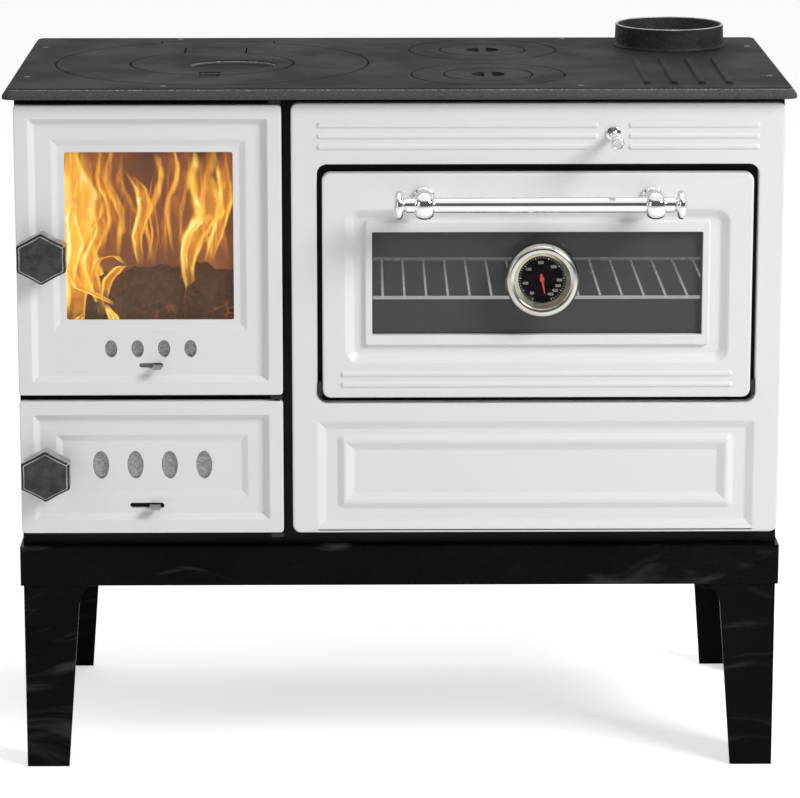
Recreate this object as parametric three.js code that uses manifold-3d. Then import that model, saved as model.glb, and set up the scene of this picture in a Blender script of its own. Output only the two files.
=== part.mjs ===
// A free-standing wood cookstove: cast cooktop with lift-out rings and lids, a fire door over an ash door on the
// left, an oven with a drop-down glazed door on the right, and a base frame on four tapered legs.
// Millimetres. X to the right, Y to the back (the front faces -Y), Z up, the floor at Z = 0.
// While the stove is built, Y = 0 is the face of the front frame, which the doors and the oven panel stand before.
import * as THREE from 'three';
import { mergeVertices } from 'three/addons/utils/BufferGeometryUtils.js';
import Module from 'manifold-3d';

// ---- Driving dimensions ------------------------------------------------------------------------------------------

const fit = 0.3; // gap between two pieces that touch
const run = 0.35; // radial gap round a turning or sliding round piece
const sheet = 2; // casing sheet
const overlap = 1; // how far cutting tools and joined lumps run past a face
const cornerSides = 4; // facets in a rounded corner

// Cooktop
const plateWidth = 872;
const plateDepth = 434;
const plateTop = 780;
const rimHeight = 12;
const rimWall = 8;
const plateDraft = 6;
const plateCorner = 14;
const rimFlat = 4; // upright part of the rim, below its draft
const deckThickness = 9;
const frontOverhang = 28; // from the front frame's face to the plate's front edge
const rearOverhang = 14;
const ribCount = 4;
const ribPitch = 30.1;
const ribLength = 195;
const ribWidth = 9;
const ribHeight = 3;
const ribFrontInset = 34;
const ribRowInset = 105.4; // middle of the row of ribs, in from the body's right side

// Rings and lids
const seatDepth = 4.7;
const ledge = 7;
const ringGap = 0.8; // visible gap round a ring or a lid
const ringHang = 2; // how far a ring's body hangs below the deck
const fireBurner = { x: -213, y: 184, radius: 178.5, tabHalf: 66, tabReach: 181 };
const fireLid = { y: -7.3, radius: 92.7, tabHalf: 35, tabReach: 130.7 };
const liftSlot = { width: 23.5, length: 43, depth: 3 };
const fireDish = { x: 24, y: -8, halfWidth: 50, halfLength: 37, depth: 3, taper: 0.8 };
const smallBurner = { x: 100, radius: 85.5 };
const frontBurnerY = 87;
const rearBurnerY = 290;
const smallLid = { radius: 49.2 };
const smallDish = { radius: 19, depth: 4, barWidth: 8, barDrop: 1 };

// Flue collar
const flueInset = 101; // flue's centre in from the body's right side
const flueY = 331;
const flueRadius = 65;
const flueWall = 7.5;
const flueTaper = 1.5;
const flueHeight = 26;
const flueFoot = 3;
const flueFootHeight = 4;
const flueSpigot = 7;
const spigotWall = 3;
const flueRim = 6;

// Casing
const bodyWidth = 848;
const frameThickness = 4;
const baseTop = 259.5;
const floorRise = 15.5; // floor panel's underside above the base frame
const ledgeWidth = 12;
const ledgeThickness = 3.7;

// Base frame and legs
const baseProud = 3; // the base frame stands out past each side of the casing
const baseFront = -14;
const baseDepth = 393;
const railHeight = 45.5;
const railWall = 3;
const flangeWidth = 42;
const legWall = 3;
const gussetSteps = 5;
const legTopWidth = 80.5;
const legNeckWidth = 61.5;
const legFootWidth = 47.5;
const legLap = 36; // how far the leg reaches up inside the rail
const gussetDrop = 30;

// Front layout
const faceDepth = 16; // front faces of the doors and the oven panel stand this far before the frame
const doorTopGap = 7; // between the plate's rim and the doors
const doorGap = 7; // between the fire door and the ash door
const fireDoorWidth = 293.7;
const fireDoorHeight = 326.5;
const ashDoorHeight = 151.6;
const stileGap = 10.4;
const panelTopGap = 5;
const panelHeight = 487.3;

// Cast doors
const doorBack = 2; // gap between the doors and the frame
const doorCorner = 4;
const landInset = 8;
const landThickness = 3;
const bandWidth = 15.7;
const stepDepth = 7;
const stepSlope = 6;
const innerStepDepth = 3;
const innerSlope = 7;
const innerInset = 39.8;
const windowInset = 54;
const windowBottom = 84;
const innerBottom = 72;
const mouthInset = 16; // how far a door laps its frame opening on the left and at the top
const mouthRight = 27;
const fireMouthBottom = 20.5;
const sealWidth = 6;
const sealDepth = 3;
const sealProud = 1.5; // how far the rope stands out of its groove
const sealLap = 1.5;
const glassThickness = 4;
const glassLap = 8;
const retainerWall = 4;
const hingeInset = 7;
const pinRadius = 2.5;
const pinLength = 12;
const earThickness = 4;
const earWidth = 13;
const earFront = 6; // ear in front of the hinge axis
const earGap = 1;

// Air shutters
const shutterThickness = 1.5;
const guideWall = 1.5;
const guideGap = 0.4;
const fireAir = {
	pitch: 29.4, halfWidth: 6.9, halfHeight: 9.95, up: 51.5,
	slotUp: 32.5, slotX: 0.2, slotLength: 26.2, slotHeight: 5.7, tabX: 7.5, tabWidth: 9.8,
	bottom: 25.5, top: 66, travel: 14.5,
};
const ashAir = {
	pitch: 38.5, halfWidth: 9, halfHeight: 16, up: 76.4,
	slotUp: 30.2, slotX: -6.5, slotLength: 38.3, slotHeight: 6.1, tabX: 2.7, tabWidth: 12,
	bottom: 24, top: 97, travel: 19.25,
};
const holeCount = 4;
const tabThickness = 2.5;
const tabReach = 10; // tab in front of the door's face
const shutterMargin = 4;

// Latches
const spindleInset = 30;
const fireSpindleUp = 159.8;
const ashSpindleUp = 72.5;
const spindleRadius = 6;
const bossRadius = 12;
const spacerRadius = 9;
const tongueLength = 25;
const tongueWidth = 12;
const tongueThickness = 5;
const knobHalfWidth = 26.7;
const knobHalfHeight = 28.3;
const knobSideHeight = 14;
const knobDepth = 28;
const knobNeck = 2;
const knobBevel = 2;
const knobHollow = 1.6; // how far the middle of each side is drawn in
const knobSocket = 12;

// Oven front panel
const skin = 2.5;
const panelCorner = 9;
const apertureSide = 28.3;
const apertureTop = 68.5;
const apertureHeight = 269.6;
const apertureCorner = 11;
const returnWall = 2;
const beadCount = 3;
const beadPitch = 12.1;
const beadWidth = 6.8;
const beadHeight = 1.6;
const beadFirst = 25; // first bead's centre below the panel's top
const beadBreak = 32.8;
const drawerTop = 359; // embossed front: its top below the panel's top
const drawerHeight = 122.6;
const drawerDepth = 4;
const drawerSlope = 5;
const ridgeInsetSide = 25;
const ridgeInsetTop = 16.4;
const ridgeInsetBottom = 19.7;
const ridgeWidth = 8;
const ridgeHeight = 2.5;

// Oven door
const ovenGapSide = 5.7;
const ovenGapTop = 9.3;
const ovenGapBottom = 7.3;
const ovenProud = 5; // oven door's face before the panel's
const ovenDoorCorner = 9;
const ovenShell = 2;
const ovenRecessSide = 26;
const ovenRecessTop = 41;
const ovenRecessBottom = 40;
const ovenRecessDepth = 7;
const ovenRecessSlope = 15;
const lipInsetSide = 46.5;
const lipInsetTop = 53.4;
const lipInsetBottom = 58.6;
const lipWidth = 8.6;
const lipWidthTop = 12.6;
const lipDrop = 2; // lip's crest behind the door's face
const ovenGlassLap = 5;
const ovenGlassThickness = 4;
const innerThickness = 2;
const clampWall = 6;
const doorBeadCount = 2;
const doorBeadUp = 15;
const doorBeadSide = 20;
const ovenHingeUp = 5;
const ovenHingeIn = 9; // hinge axis behind the door's face
const ovenEar = 3.5;
const ovenEarGap = 1.2;
const earBelow = 3.5; // ear below the hinge axis, clear of the aperture's round corner
const ovenSealInset = 12;
const ovenSeal = 1.5;

// Handle
const handleUp = 226.6; // above the oven door's bottom
const handleReach = 50; // bar's axis before the door's face
const barRadius = 7.7;
const bracketSpan = 251.6;
const beadRadius = 15.5;
const beadHalf = 9.5;
const beadLip = 1; // wall of the bead at its ends
const postRadius = 10;
const postFoot = 12.5;
const postFootThickness = 4;
const handleBolt = 3;
const boltTail = 4;
const finialSpan = 307;
const finialRadius = 15.5;
const finialShoulder = 13.2;
const finialEnd = 7;
const finialHalf = 6.2;
const finialShoulderHalf = 3.4;

// Thermometer
const gaugeX = 4.5; // right of the oven door's middle
const gaugeUp = 136.6;
const gaugeRadius = 40;
const gaugeFront = 25; // bezel's front before the door's face
const gaugeRimFront = 5; // where the case reaches its full radius, behind the bezel's front
const gaugeChamfer = 1;
const gaugeRimWidth = 5; // flat front of the rim, outside the inner slope
const gaugeRound = 2;
const gaugeShoulder = 36;
const gaugeShoulderBack = 5; // rounded shoulder at the back of the case, behind the dial
const gaugeNeck = 24;
const gaugeNeckBack = 8;
const bezelRadius = 31;
const dialRadius = 26;
const dialDrop = 14; // dial behind the bezel's front
const dialThickness = 1.2;
const lensRadius = 32.6;
const lensThickness = 1.2;
const lensSeat = 1.2; // lens behind the bezel's front
const stemRadius = 4;
const stemTail = 2;
const needleLength = 16.5;
const needleTail = 6;
const needleWidth = 1.8;
const hubRadius = 2.6;
const needleThickness = 1;
const needleAngle = 169; // clockwise from straight up, seen from the front

// Damper
const damperInset = 189.4; // in from the body's right side
const damperDrop = 34.7; // below the oven panel's top
const damperRodRadius = 4.2;
const damperReach = 68; // knob's centre before the panel's face
const damperBall = 7.8;
const damperBallEnd = 4.3; // flat on the front of the ball
const damperNeck = 4.6; // where the ball meets its rod
const damperFillet = 3;
const escutcheonRadius = 8.5;
const escutcheonThickness = 3;
const damperTravel = 55;
const bladeWidth = 165;
const bladeDepth = 108;
const bladeThickness = 3;
const bladeSocket = 7; // socket block round the rod's end, half its side
const bladeBackGap = 4;

// Oven
const ovenInset = 0.5; // oven wall inside the door's outline
const ovenWall = 2;
const ovenDepth = 335;
const ovenFlange = 10;
const rackUp = 105;
const rackRod = 3;
const wireRadius = 2;
const rackFront = 16;
const rackDepth = 227;
const rackWireInset = 15.85; // outer wires in from the ends of the cross rods
const rackWires = 19;
const rackEnd = 2;
const runnerWidth = 8;
const runnerThickness = 3;

// Firebox
const brick = 25;
const brickFront = 12;
const brickTopGap = 28; // under the cooktop's rim
const fireboxBack = 363;
const grateUnder = 425;
const grateThickness = 12;
const slotPitch = 26;
const slotWidth = 9;
const slotCount = 7;
const slotSide = 40;
const panSideGap = 23;
const panFront = 10;
const panDepth = 320;
const panHeight = 70;
const panWall = 1.5;

// ---- Derived places ----------------------------------------------------------------------------------------------

const bodyLeft = -bodyWidth / 2;
const bodyRight = bodyWidth / 2;
const baseWidth = bodyWidth + 2 * baseProud;
const plateFront = -frontOverhang;
const plateBack = plateFront + plateDepth;
const plateBottom = plateTop - rimHeight;
const deckUnder = plateTop - deckThickness;
const brickTop = plateBottom - brickTopGap;
const flueX = bodyRight - flueInset;
const ribRowX = bodyRight - ribRowInset;
const bodyBack = plateBack - rearOverhang;
const bodyBottom = baseTop + fit;
const bodyTop = deckUnder - fit;
const doorTop = plateBottom - doorTopGap;
const fireDoorBottom = doorTop - fireDoorHeight;
const ashDoorBottom = fireDoorBottom - doorGap - ashDoorHeight;
const panelLeft = bodyLeft + fireDoorWidth + stileGap;
const panelTop = plateBottom - panelTopGap;
const damperX = bodyRight - damperInset;
const damperZ = panelTop - damperDrop;
const floorUnder = baseTop + floorRise;
const floorTop = floorUnder + sheet;
const ovenDoorLeft = panelLeft + apertureSide + ovenGapSide;
const ovenDoorRight = bodyRight - apertureSide - ovenGapSide;
const apertureZ1 = panelTop - apertureTop;
const apertureZ0 = apertureZ1 - apertureHeight;
const ovenDoorBottom = apertureZ0 + ovenGapBottom;
const ovenDoorTop = apertureZ1 - ovenGapTop;
const ovenX0 = ovenDoorLeft + ovenInset;
const ovenX1 = ovenDoorRight - ovenInset;
const ovenZ0 = ovenDoorBottom + ovenInset;
const ovenZ1 = ovenDoorTop - ovenInset;
const ovenFront = frameThickness + fit;
const flangeBack = ovenFront + ovenWall + fit;
const innerLeft = bodyLeft + sheet + fit;
const partitionRight = ovenX0;
const partitionLeft = partitionRight - ovenWall;

// ---- Solids ------------------------------------------------------------------------------------------------------

const wasm = await Module();
wasm.setup();

// A closed geometry as a solid, with its faces turned outwards.
function solid( geometry ) {

	const bare = geometry.clone();
	bare.deleteAttribute( 'normal' );
	bare.deleteAttribute( 'uv' );
	const merged = mergeVertices( bare, 1e-4 );
	const vertProperties = new Float32Array( merged.attributes.position.array );
	const triVerts = new Uint32Array( merged.index.array );
	const shape = new wasm.Manifold( new wasm.Mesh( { numProp: 3, vertProperties, triVerts } ) );
	if ( shape.volume() > 0 ) return shape;
	for ( let i = 0; i < triVerts.length; i += 3 ) triVerts.subarray( i, i + 3 ).reverse();
	return new wasm.Manifold( new wasm.Mesh( { numProp: 3, vertProperties, triVerts } ) );

}

function join( ...lumps ) {

	return lumps.reduce( ( whole, lump ) => whole.add( lump ) );

}

function cut( base, ...tools ) {

	return tools.reduce( ( rest, tool ) => rest.subtract( tool ), base );

}

function block( x0, x1, y0, y1, z0, z1 ) {

	const box = new THREE.BoxGeometry( x1 - x0, y1 - y0, z1 - z0 );
	return solid( box.translate( ( x0 + x1 ) / 2, ( y0 + y1 ) / 2, ( z0 + z1 ) / 2 ) );

}

// How an outline's two coordinates and its depth become X, Y and Z.
const across = ( [ u, v ], depth ) => [ u, depth, v ]; // outline in X and Z, depth along Y
const flat = ( [ u, v ], depth ) => [ u, v, depth ]; // outline in X and Y, depth along Z
const endwise = ( [ u, v ], depth ) => [ depth, u, v ]; // outline in Y and Z, depth along X

// Joins outlines with equal numbers of points, one after another in depth, into one closed solid.
function loft( place, ...sections ) {

	const vectors = ( points ) => points.map( ( p ) => new THREE.Vector2( ...p ) );
	const clockwise = THREE.ShapeUtils.area( vectors( sections[ 0 ].points ) ) < 0;
	const rings = sections.map( ( s ) => ( { at: s.at, points: clockwise ? [ ...s.points ].reverse() : s.points } ) );
	const count = rings[ 0 ].points.length;
	const positions = rings.flatMap( ( s ) => s.points.flatMap( ( p ) => place( p, s.at ) ) );
	const index = [];
	for ( let first = 0; first < ( sections.length - 1 ) * count; first += count ) {

		for ( let i = 0; i < count; i ++ ) {

			const a = first + i;
			const b = first + ( i + 1 ) % count;
			index.push( a, b, a + count, b, b + count, a + count );

		}

	}

	const last = ( sections.length - 1 ) * count;
	const cap = ( s ) => THREE.ShapeUtils.triangulateShape( vectors( s.points ), [] );
	for ( const [ a, b, c ] of cap( rings[ 0 ] ) ) index.push( a, c, b );
	for ( const [ a, b, c ] of cap( rings.at( - 1 ) ) ) index.push( last + a, last + b, last + c );
	const geometry = new THREE.BufferGeometry();
	geometry.setAttribute( 'position', new THREE.Float32BufferAttribute( positions, 3 ) );
	geometry.setIndex( index );
	return solid( geometry );

}

// The same outline from one depth to another.
function extrude( place, points, from, to ) {

	return loft( place, { at: from, points }, { at: to, points } );

}

// A shape's points. three.js gives each arc twice as many divisions as it is asked for.
function outlinePoints( shape, sides ) {

	const points = shape.getPoints( sides / 2 ).map( ( p ) => [ p.x, p.y ] );
	const apart = ( p, q ) => Math.hypot( p[ 0 ] - q[ 0 ], p[ 1 ] - q[ 1 ] ) > 1e-6;
	if ( ! apart( points[ 0 ], points.at( - 1 ) ) ) points.pop();
	return points.filter( ( p, i ) => i === 0 || apart( p, points[ i - 1 ] ) );

}

function rectangle( u0, u1, v0, v1 ) {

	return [ [ u0, v0 ], [ u1, v0 ], [ u1, v1 ], [ u0, v1 ] ];

}

function roundedRectangle( u0, u1, v0, v1, radius ) {

	const shape = new THREE.Shape();
	shape.absarc( u1 - radius, v0 + radius, radius, - Math.PI / 2, 0 );
	shape.absarc( u1 - radius, v1 - radius, radius, 0, Math.PI / 2 );
	shape.absarc( u0 + radius, v1 - radius, radius, Math.PI / 2, Math.PI );
	shape.absarc( u0 + radius, v0 + radius, radius, Math.PI, 1.5 * Math.PI );
	return outlinePoints( shape, cornerSides );

}

function ellipse( u, v, halfWidth, halfHeight, sides = 14 ) {

	return outlinePoints( new THREE.Shape().absellipse( u, v, halfWidth, halfHeight, 0, 2 * Math.PI ), sides );

}

// The tool for a stepped recess: its far outline is drawn in by `slope` on every side, and it starts a little before
// `from`, on the same slope.
function recess( x0, x1, z0, z1, from, to, slope ) {

	const lead = Math.sign( to - from ) * overlap;
	const out = slope * overlap / Math.abs( to - from );
	return loft( across,
		{ at: from - lead, points: rectangle( x0 - out, x1 + out, z0 - out, z1 + out ) },
		{ at: to, points: rectangle( x0 + slope, x1 - slope, z0 + slope, z1 - slope ) },
	);

}

// A frame of the given wall inside a rectangle.
function ringFrame( x0, x1, z0, z1, y0, y1, wall ) {

	return cut(
		block( x0, x1, y0, y1, z0, z1 ),
		block( x0 + wall, x1 - wall, y0 - overlap, y1 + overlap, z0 + wall, z1 - wall ),
	);

}

// A round bar along one axis through the point ( a, b ) of the other two, given in X, Y, Z order.
function round( place, a, b, radius, from, to, sides = 16 ) {

	return extrude( place, ellipse( a, b, radius, radius, sides ), from, to );

}

// Turns a profile of [ radius, place along the axis ] points, which starts and ends on the axis or closes on itself.
function turned( axis, profile, sides ) {

	const closed = profile[ 0 ][ 0 ] > 0 ? [ ...profile, profile[ 0 ] ] : profile;
	const geometry = new THREE.LatheGeometry( closed.map( ( p ) => new THREE.Vector2( ...p ) ), sides );
	if ( axis === 'x' ) geometry.rotateZ( - Math.PI / 2 );
	if ( axis === 'z' ) geometry.rotateX( Math.PI / 2 );
	return solid( geometry );

}

// A pressed bead along X, of trapezium section, standing before the face at y.
function bead( x0, x1, y, z ) {

	const half = beadWidth / 2;
	const crest = beadWidth / 4;
	const profile = [
		[ y + overlap, z - half ], [ y, z - half ], [ y - beadHeight, z - crest ],
		[ y - beadHeight, z + crest ], [ y, z + half ], [ y + overlap, z + half ],
	];
	return extrude( endwise, profile, x0, x1 );

}

// ---- Scene graph -------------------------------------------------------------------------------------------------

const finishes = {
	enamel: [ 0xe6e6e4, 0.25, 0 ],
	castTop: [ 0x3e3e40, 0.6, 0.4 ],
	casing: [ 0x1b1b1c, 0.45, 0.1 ],
	baseBlack: [ 0x0e0e0f, 0.18, 0.1 ],
	iron: [ 0x333333, 0.75, 0.5 ],
	steel: [ 0x8d9296, 0.45, 0.8 ],
	chrome: [ 0xd8dadd, 0.08, 1 ],
	knob: [ 0x3a3a3c, 0.4, 0.6 ],
	glass: [ 0x4a4b4d, 0.08, 0 ],
	clay: [ 0xb89b78, 0.95, 0 ],
	rope: [ 0x5d5a55, 0.95, 0 ],
	dial: [ 0x111111, 0.6, 0 ],
	needle: [ 0xb3261e, 0.4, 0 ],
};

const stove = new THREE.Group();

function piece( parent, name, shape, finish ) {

	const made = shape.getMesh();
	const geometry = new THREE.BufferGeometry();
	geometry.setAttribute( 'position', new THREE.Float32BufferAttribute( made.vertProperties, 3 ) );
	geometry.setIndex( new THREE.Uint32BufferAttribute( made.triVerts, 1 ) );
	const [ color, roughness, metalness ] = finishes[ finish ];
	const mesh = new THREE.Mesh( geometry, new THREE.MeshStandardMaterial( { color, roughness, metalness } ) );
	mesh.name = name;
	parent.add( mesh );

}

function groupAt( x, y, z ) {

	const group = new THREE.Group();
	group.position.set( x, y, z );
	stove.add( group );
	return group;

}

// ---- Cooktop -----------------------------------------------------------------------------------------------------

// A circle, with a square-cornered tab at its back where the spec has one.
function burnerOutline( spec, grow, sides ) {

	const radius = spec.radius + grow;
	if ( ! spec.tabHalf ) return ellipse( 0, 0, radius, radius, sides );
	const half = spec.tabHalf + grow;
	const angle = Math.acos( half / radius );
	const arc = new THREE.Shape().absarc( 0, 0, radius, Math.PI - angle, 2 * Math.PI + angle );
	const points = outlinePoints( arc, sides );
	return [ ...points, [ half, spec.tabReach + grow ], [ - half, spec.tabReach + grow ] ];

}

// The pocket in which a ring or a lid sits: its outline down to the seat, then a narrower hole right through.
function seatCut( spec, sides ) {

	return join(
		extrude( flat, burnerOutline( spec, ringGap, sides ), - seatDepth, overlap ),
		round( flat, 0, 0, spec.radius - ledge, - plateTop, overlap, sides ),
	);

}

// The ring or lid that fills such a pocket.
function seatFill( spec, sides ) {

	return join(
		extrude( flat, burnerOutline( spec, 0, sides ), fit - seatDepth, 0 ),
		round( flat, 0, 0, spec.radius - ledge - ringGap, - deckThickness - ringHang, - fit, sides ),
	);

}

const burners = [
	{ name: 'fire', x: fireBurner.x, y: fireBurner.y, ring: fireBurner, lid: fireLid, lidY: fireLid.y, sides: 44 },
	{ name: 'front', x: smallBurner.x, y: frontBurnerY, ring: smallBurner, lid: smallLid, lidY: 0, sides: 28 },
	{ name: 'rear', x: smallBurner.x, y: rearBurnerY, ring: smallBurner, lid: smallLid, lidY: 0, sides: 28 },
];

// A slot for the lifting hook, across the front edge of the fire lid and into its ring.
function liftSlotCut( lidY ) {

	const middle = lidY - fireLid.radius;
	const half = liftSlot.length / 2;
	return block( - liftSlot.width / 2, liftSlot.width / 2, middle - half, middle + half, - liftSlot.depth, overlap );

}

function fireLidCut() {

	const dish = ellipse( fireDish.x, fireDish.y, fireDish.halfWidth, fireDish.halfLength, 20 );
	const drawnIn = ( value, middle ) => middle + ( value - middle ) * fireDish.taper;
	const floor = dish.map( ( [ x, y ] ) => [ drawnIn( x, fireDish.x ), drawnIn( y, fireDish.y ) ] );
	return join(
		loft( flat, { at: - fireDish.depth, points: floor }, { at: overlap, points: dish } ),
		liftSlotCut( 0 ),
	);

}

// A round hollow with a bar left across it from front to back, to take the lifting hook.
function smallLidCut() {

	const half = smallDish.barWidth / 2;
	const reach = smallDish.radius + overlap;
	return cut(
		round( flat, 0, 0, smallDish.radius, - smallDish.depth, overlap, 20 ),
		block( - half, half, - reach, reach, - smallDish.depth - overlap, - smallDish.barDrop ),
	);

}

for ( const burner of burners ) {

	const group = groupAt( burner.x, burner.y, plateTop );
	const big = burner.name === 'fire';
	const ring = cut(
		seatFill( burner.ring, burner.sides ),
		seatCut( burner.lid, burner.sides ).translate( 0, burner.lidY, 0 ),
	);
	const lid = seatFill( burner.lid, burner.sides );
	piece( group, `${ burner.name }_ring`, big ? cut( ring, liftSlotCut( burner.lidY ) ) : ring, 'castTop' );
	const lidGroup = new THREE.Group();
	lidGroup.position.y = burner.lidY;
	group.add( lidGroup );
	piece( lidGroup, `${ burner.name }_lid`, cut( lid, big ? fireLidCut() : smallLidCut() ), 'castTop' );

}

function cooktopPlate() {

	const outline = ( inset ) => roundedRectangle(
		inset - plateWidth / 2, plateWidth / 2 - inset, plateFront + inset, plateBack - inset, plateCorner,
	);
	const slab = loft( flat,
		{ at: plateBottom, points: outline( 0 ) },
		{ at: plateBottom + rimFlat, points: outline( 0 ) },
		{ at: plateTop, points: outline( plateDraft ) },
	);
	const under = block(
		rimWall - plateWidth / 2, plateWidth / 2 - rimWall, plateFront + rimWall, plateBack - rimWall,
		plateBottom - overlap, deckUnder,
	);
	const pockets = burners.map( ( b ) => seatCut( b.ring, b.sides ).translate( b.x, b.y, plateTop ) );
	const flue = round( flat, flueX, flueY, flueRadius - flueWall, plateBottom, plateTop + overlap, 32 );
	const ribAt = ( i ) => ribRowX + ( i - ( ribCount - 1 ) / 2 ) * ribPitch;
	const ribs = Array.from( { length: ribCount }, ( _, i ) => rib( ribAt( i ) ) );
	return join( cut( slab, under, ...pockets, flue ), ...ribs );

}

function rib( x ) {

	const front = plateFront + ribFrontInset;
	const half = ribWidth / 2;
	const outline = ( inset ) => roundedRectangle(
		x - half + inset, x + half - inset, front + inset, front + ribLength - inset, half - inset,
	);
	return loft( flat,
		{ at: plateTop - overlap, points: outline( 0 ) },
		{ at: plateTop + ribHeight / 3, points: outline( 0 ) },
		{ at: plateTop + ribHeight, points: outline( ribWidth / 4 ) },
	);

}

piece( stove, 'cooktop_plate', cooktopPlate(), 'castTop' );

function flueCollar() {

	const hole = flueRadius - flueWall;
	const bore = hole - run - spigotWall;
	const top = flueRadius - flueTaper;
	return turned( 'z', [
		[ bore, - flueSpigot ], [ hole - run, - flueSpigot ], [ hole - run, fit ], [ flueRadius + flueFoot, fit ],
		[ flueRadius + flueFoot, flueFootHeight / 2 ], [ flueRadius, flueFootHeight * 1.5 ], [ top, flueHeight ],
		[ top - flueRim, flueHeight ], [ bore, flueFootHeight ],
	], 32 );

}

piece( groupAt( flueX, flueY, plateTop ), 'flue_collar', flueCollar(), 'castTop' );

// ---- Base frame and legs -----------------------------------------------------------------------------------------

const baseBack = baseFront + baseDepth;
const railBottom = baseTop - railHeight;

function baseFrame() {

	const side = baseWidth / 2;
	const under = baseTop - railWall;
	return cut(
		block( - side, side, baseFront, baseBack, railBottom, baseTop ),
		block(
			railWall - side, side - railWall, baseFront + railWall, baseBack - railWall, railBottom - overlap, under,
		),
		block(
			flangeWidth - side, side - flangeWidth, baseFront + flangeWidth, baseBack - flangeWidth,
			railBottom, baseTop + overlap,
		),
	);

}

piece( stove, 'base_frame', baseFrame(), 'baseBlack' );

// One face of a leg, as an outline in the distance from its outer corner and the height: a straight taper, then a
// concave gusset out to its full width under the rail.
function legFace() {

	const neck = railBottom - gussetDrop;
	const spread = legTopWidth - legNeckWidth;
	const gusset = Array.from( { length: gussetSteps + 1 }, ( _, i ) => {

		const angle = i / gussetSteps * Math.PI / 2;
		return [ legNeckWidth + spread * ( 1 - Math.cos( angle ) ), neck + gussetDrop * Math.sin( angle ) ];

	} );
	const top = railBottom + legLap;
	return [ [ 0, 0 ], [ legFootWidth, 0 ], ...gusset, [ legTopWidth, top ], [ 0, top ] ];

}

for ( const [ end, y, back ] of [ [ 'front', baseFront, 1 ], [ 'rear', baseBack, - 1 ] ] ) {

	for ( const [ side, right ] of [ [ 'left', - 1 ], [ 'right', 1 ] ] ) {

		const inset = railWall + fit;
		const group = groupAt( right * ( baseWidth / 2 - inset ), y + back * inset, 0 );
		const leg = join(
			extrude( across, legFace().map( ( [ u, v ] ) => [ - right * u, v ] ), 0, back * legWall ),
			extrude( endwise, legFace().map( ( [ u, v ] ) => [ back * u, v ] ), 0, - right * legWall ),
		);
		piece( group, `leg_${ end }_${ side }`, leg, 'baseBlack' );

	}

}

// ---- Casing ------------------------------------------------------------------------------------------------------

const fireMouth = {
	x0: bodyLeft + mouthInset, x1: bodyLeft + fireDoorWidth - mouthRight,
	z0: fireDoorBottom + fireMouthBottom, z1: doorTop - mouthInset,
};
const ashMouth = { x0: fireMouth.x0, x1: fireMouth.x1, z0: floorTop, z1: ashDoorBottom + ashDoorHeight - mouthInset };

function frontFrame() {

	const hole = ( x0, x1, z0, z1 ) => block( x0, x1, - overlap, frameThickness + overlap, z0, z1 );
	return cut(
		block( bodyLeft, bodyRight, 0, frameThickness, bodyBottom, bodyTop ),
		hole( fireMouth.x0, fireMouth.x1, fireMouth.z0, fireMouth.z1 ),
		hole( ashMouth.x0, ashMouth.x1, ashMouth.z0, ashMouth.z1 ),
		hole( ovenX0, ovenX1, ovenZ0, ovenZ1 ),
		round( across, damperX, damperZ, damperRodRadius + run, - overlap, frameThickness + overlap ),
	);

}

piece( stove, 'front_frame', frontFrame(), 'casing' );

const casingFront = frameThickness + fit;
const casingBack = bodyBack - sheet - fit;
const grateLedge = [
	casingFront + ledgeWidth, casingBack - ledgeWidth, grateUnder - fit - ledgeThickness, grateUnder - fit,
];

function leftSidePanel() {

	return join(
		block( bodyLeft, bodyLeft + sheet, casingFront, casingBack, bodyBottom, bodyTop ),
		block( bodyLeft + overlap, bodyLeft + sheet + ledgeWidth, ...grateLedge ),
	);

}

function ashPartition() {

	return join(
		block( partitionLeft, partitionRight, flangeBack, casingBack, floorTop + fit, ovenZ0 - ovenWall - fit ),
		block( partitionLeft - ledgeWidth, partitionLeft + overlap, ...grateLedge ),
	);

}

piece( stove, 'left_side_panel', leftSidePanel(), 'casing' );
piece(
	stove, 'right_side_panel',
	block( bodyRight - sheet, bodyRight, casingFront, casingBack, bodyBottom, bodyTop ), 'casing',
);
piece(
	stove, 'back_panel',
	block( bodyLeft, bodyRight, bodyBack - sheet, bodyBack, bodyBottom, bodyTop ), 'casing',
);
piece(
	stove, 'floor_panel',
	block( innerLeft, - innerLeft, casingFront, casingBack, floorUnder, floorTop ), 'casing',
);
piece( stove, 'ash_partition', ashPartition(), 'casing' );

// ---- Firebox -----------------------------------------------------------------------------------------------------

const fireRight = ovenX0 - ovenWall - fit;
const brickBottom = grateUnder + grateThickness + fit;

function fireGrate() {

	const middle = ( innerLeft + fireRight ) / 2;
	const slots = Array.from( { length: slotCount }, ( _, i ) => {

		const x = middle + ( i - ( slotCount - 1 ) / 2 ) * slotPitch;
		const end = brickFront + slotSide;
		return block(
			x - slotWidth / 2, x + slotWidth / 2, end, fireboxBack - slotSide, grateUnder - overlap, brickBottom,
		);

	} );
	const slab = block( innerLeft, fireRight, flangeBack, fireboxBack, grateUnder, grateUnder + grateThickness );
	return cut( slab, ...slots );

}

piece( stove, 'fire_grate', fireGrate(), 'iron' );
piece(
	stove, 'firebrick_left',
	block( innerLeft, innerLeft + brick, brickFront, fireboxBack, brickBottom, brickTop ), 'clay',
);
piece(
	stove, 'firebrick_right',
	block( fireRight - brick, fireRight, brickFront, fireboxBack, brickBottom, brickTop ), 'clay',
);
piece(
	stove, 'firebrick_back',
	block(
		innerLeft + brick + fit, fireRight - brick - fit, fireboxBack - brick, fireboxBack, brickBottom, brickTop,
	), 'clay',
);

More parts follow.
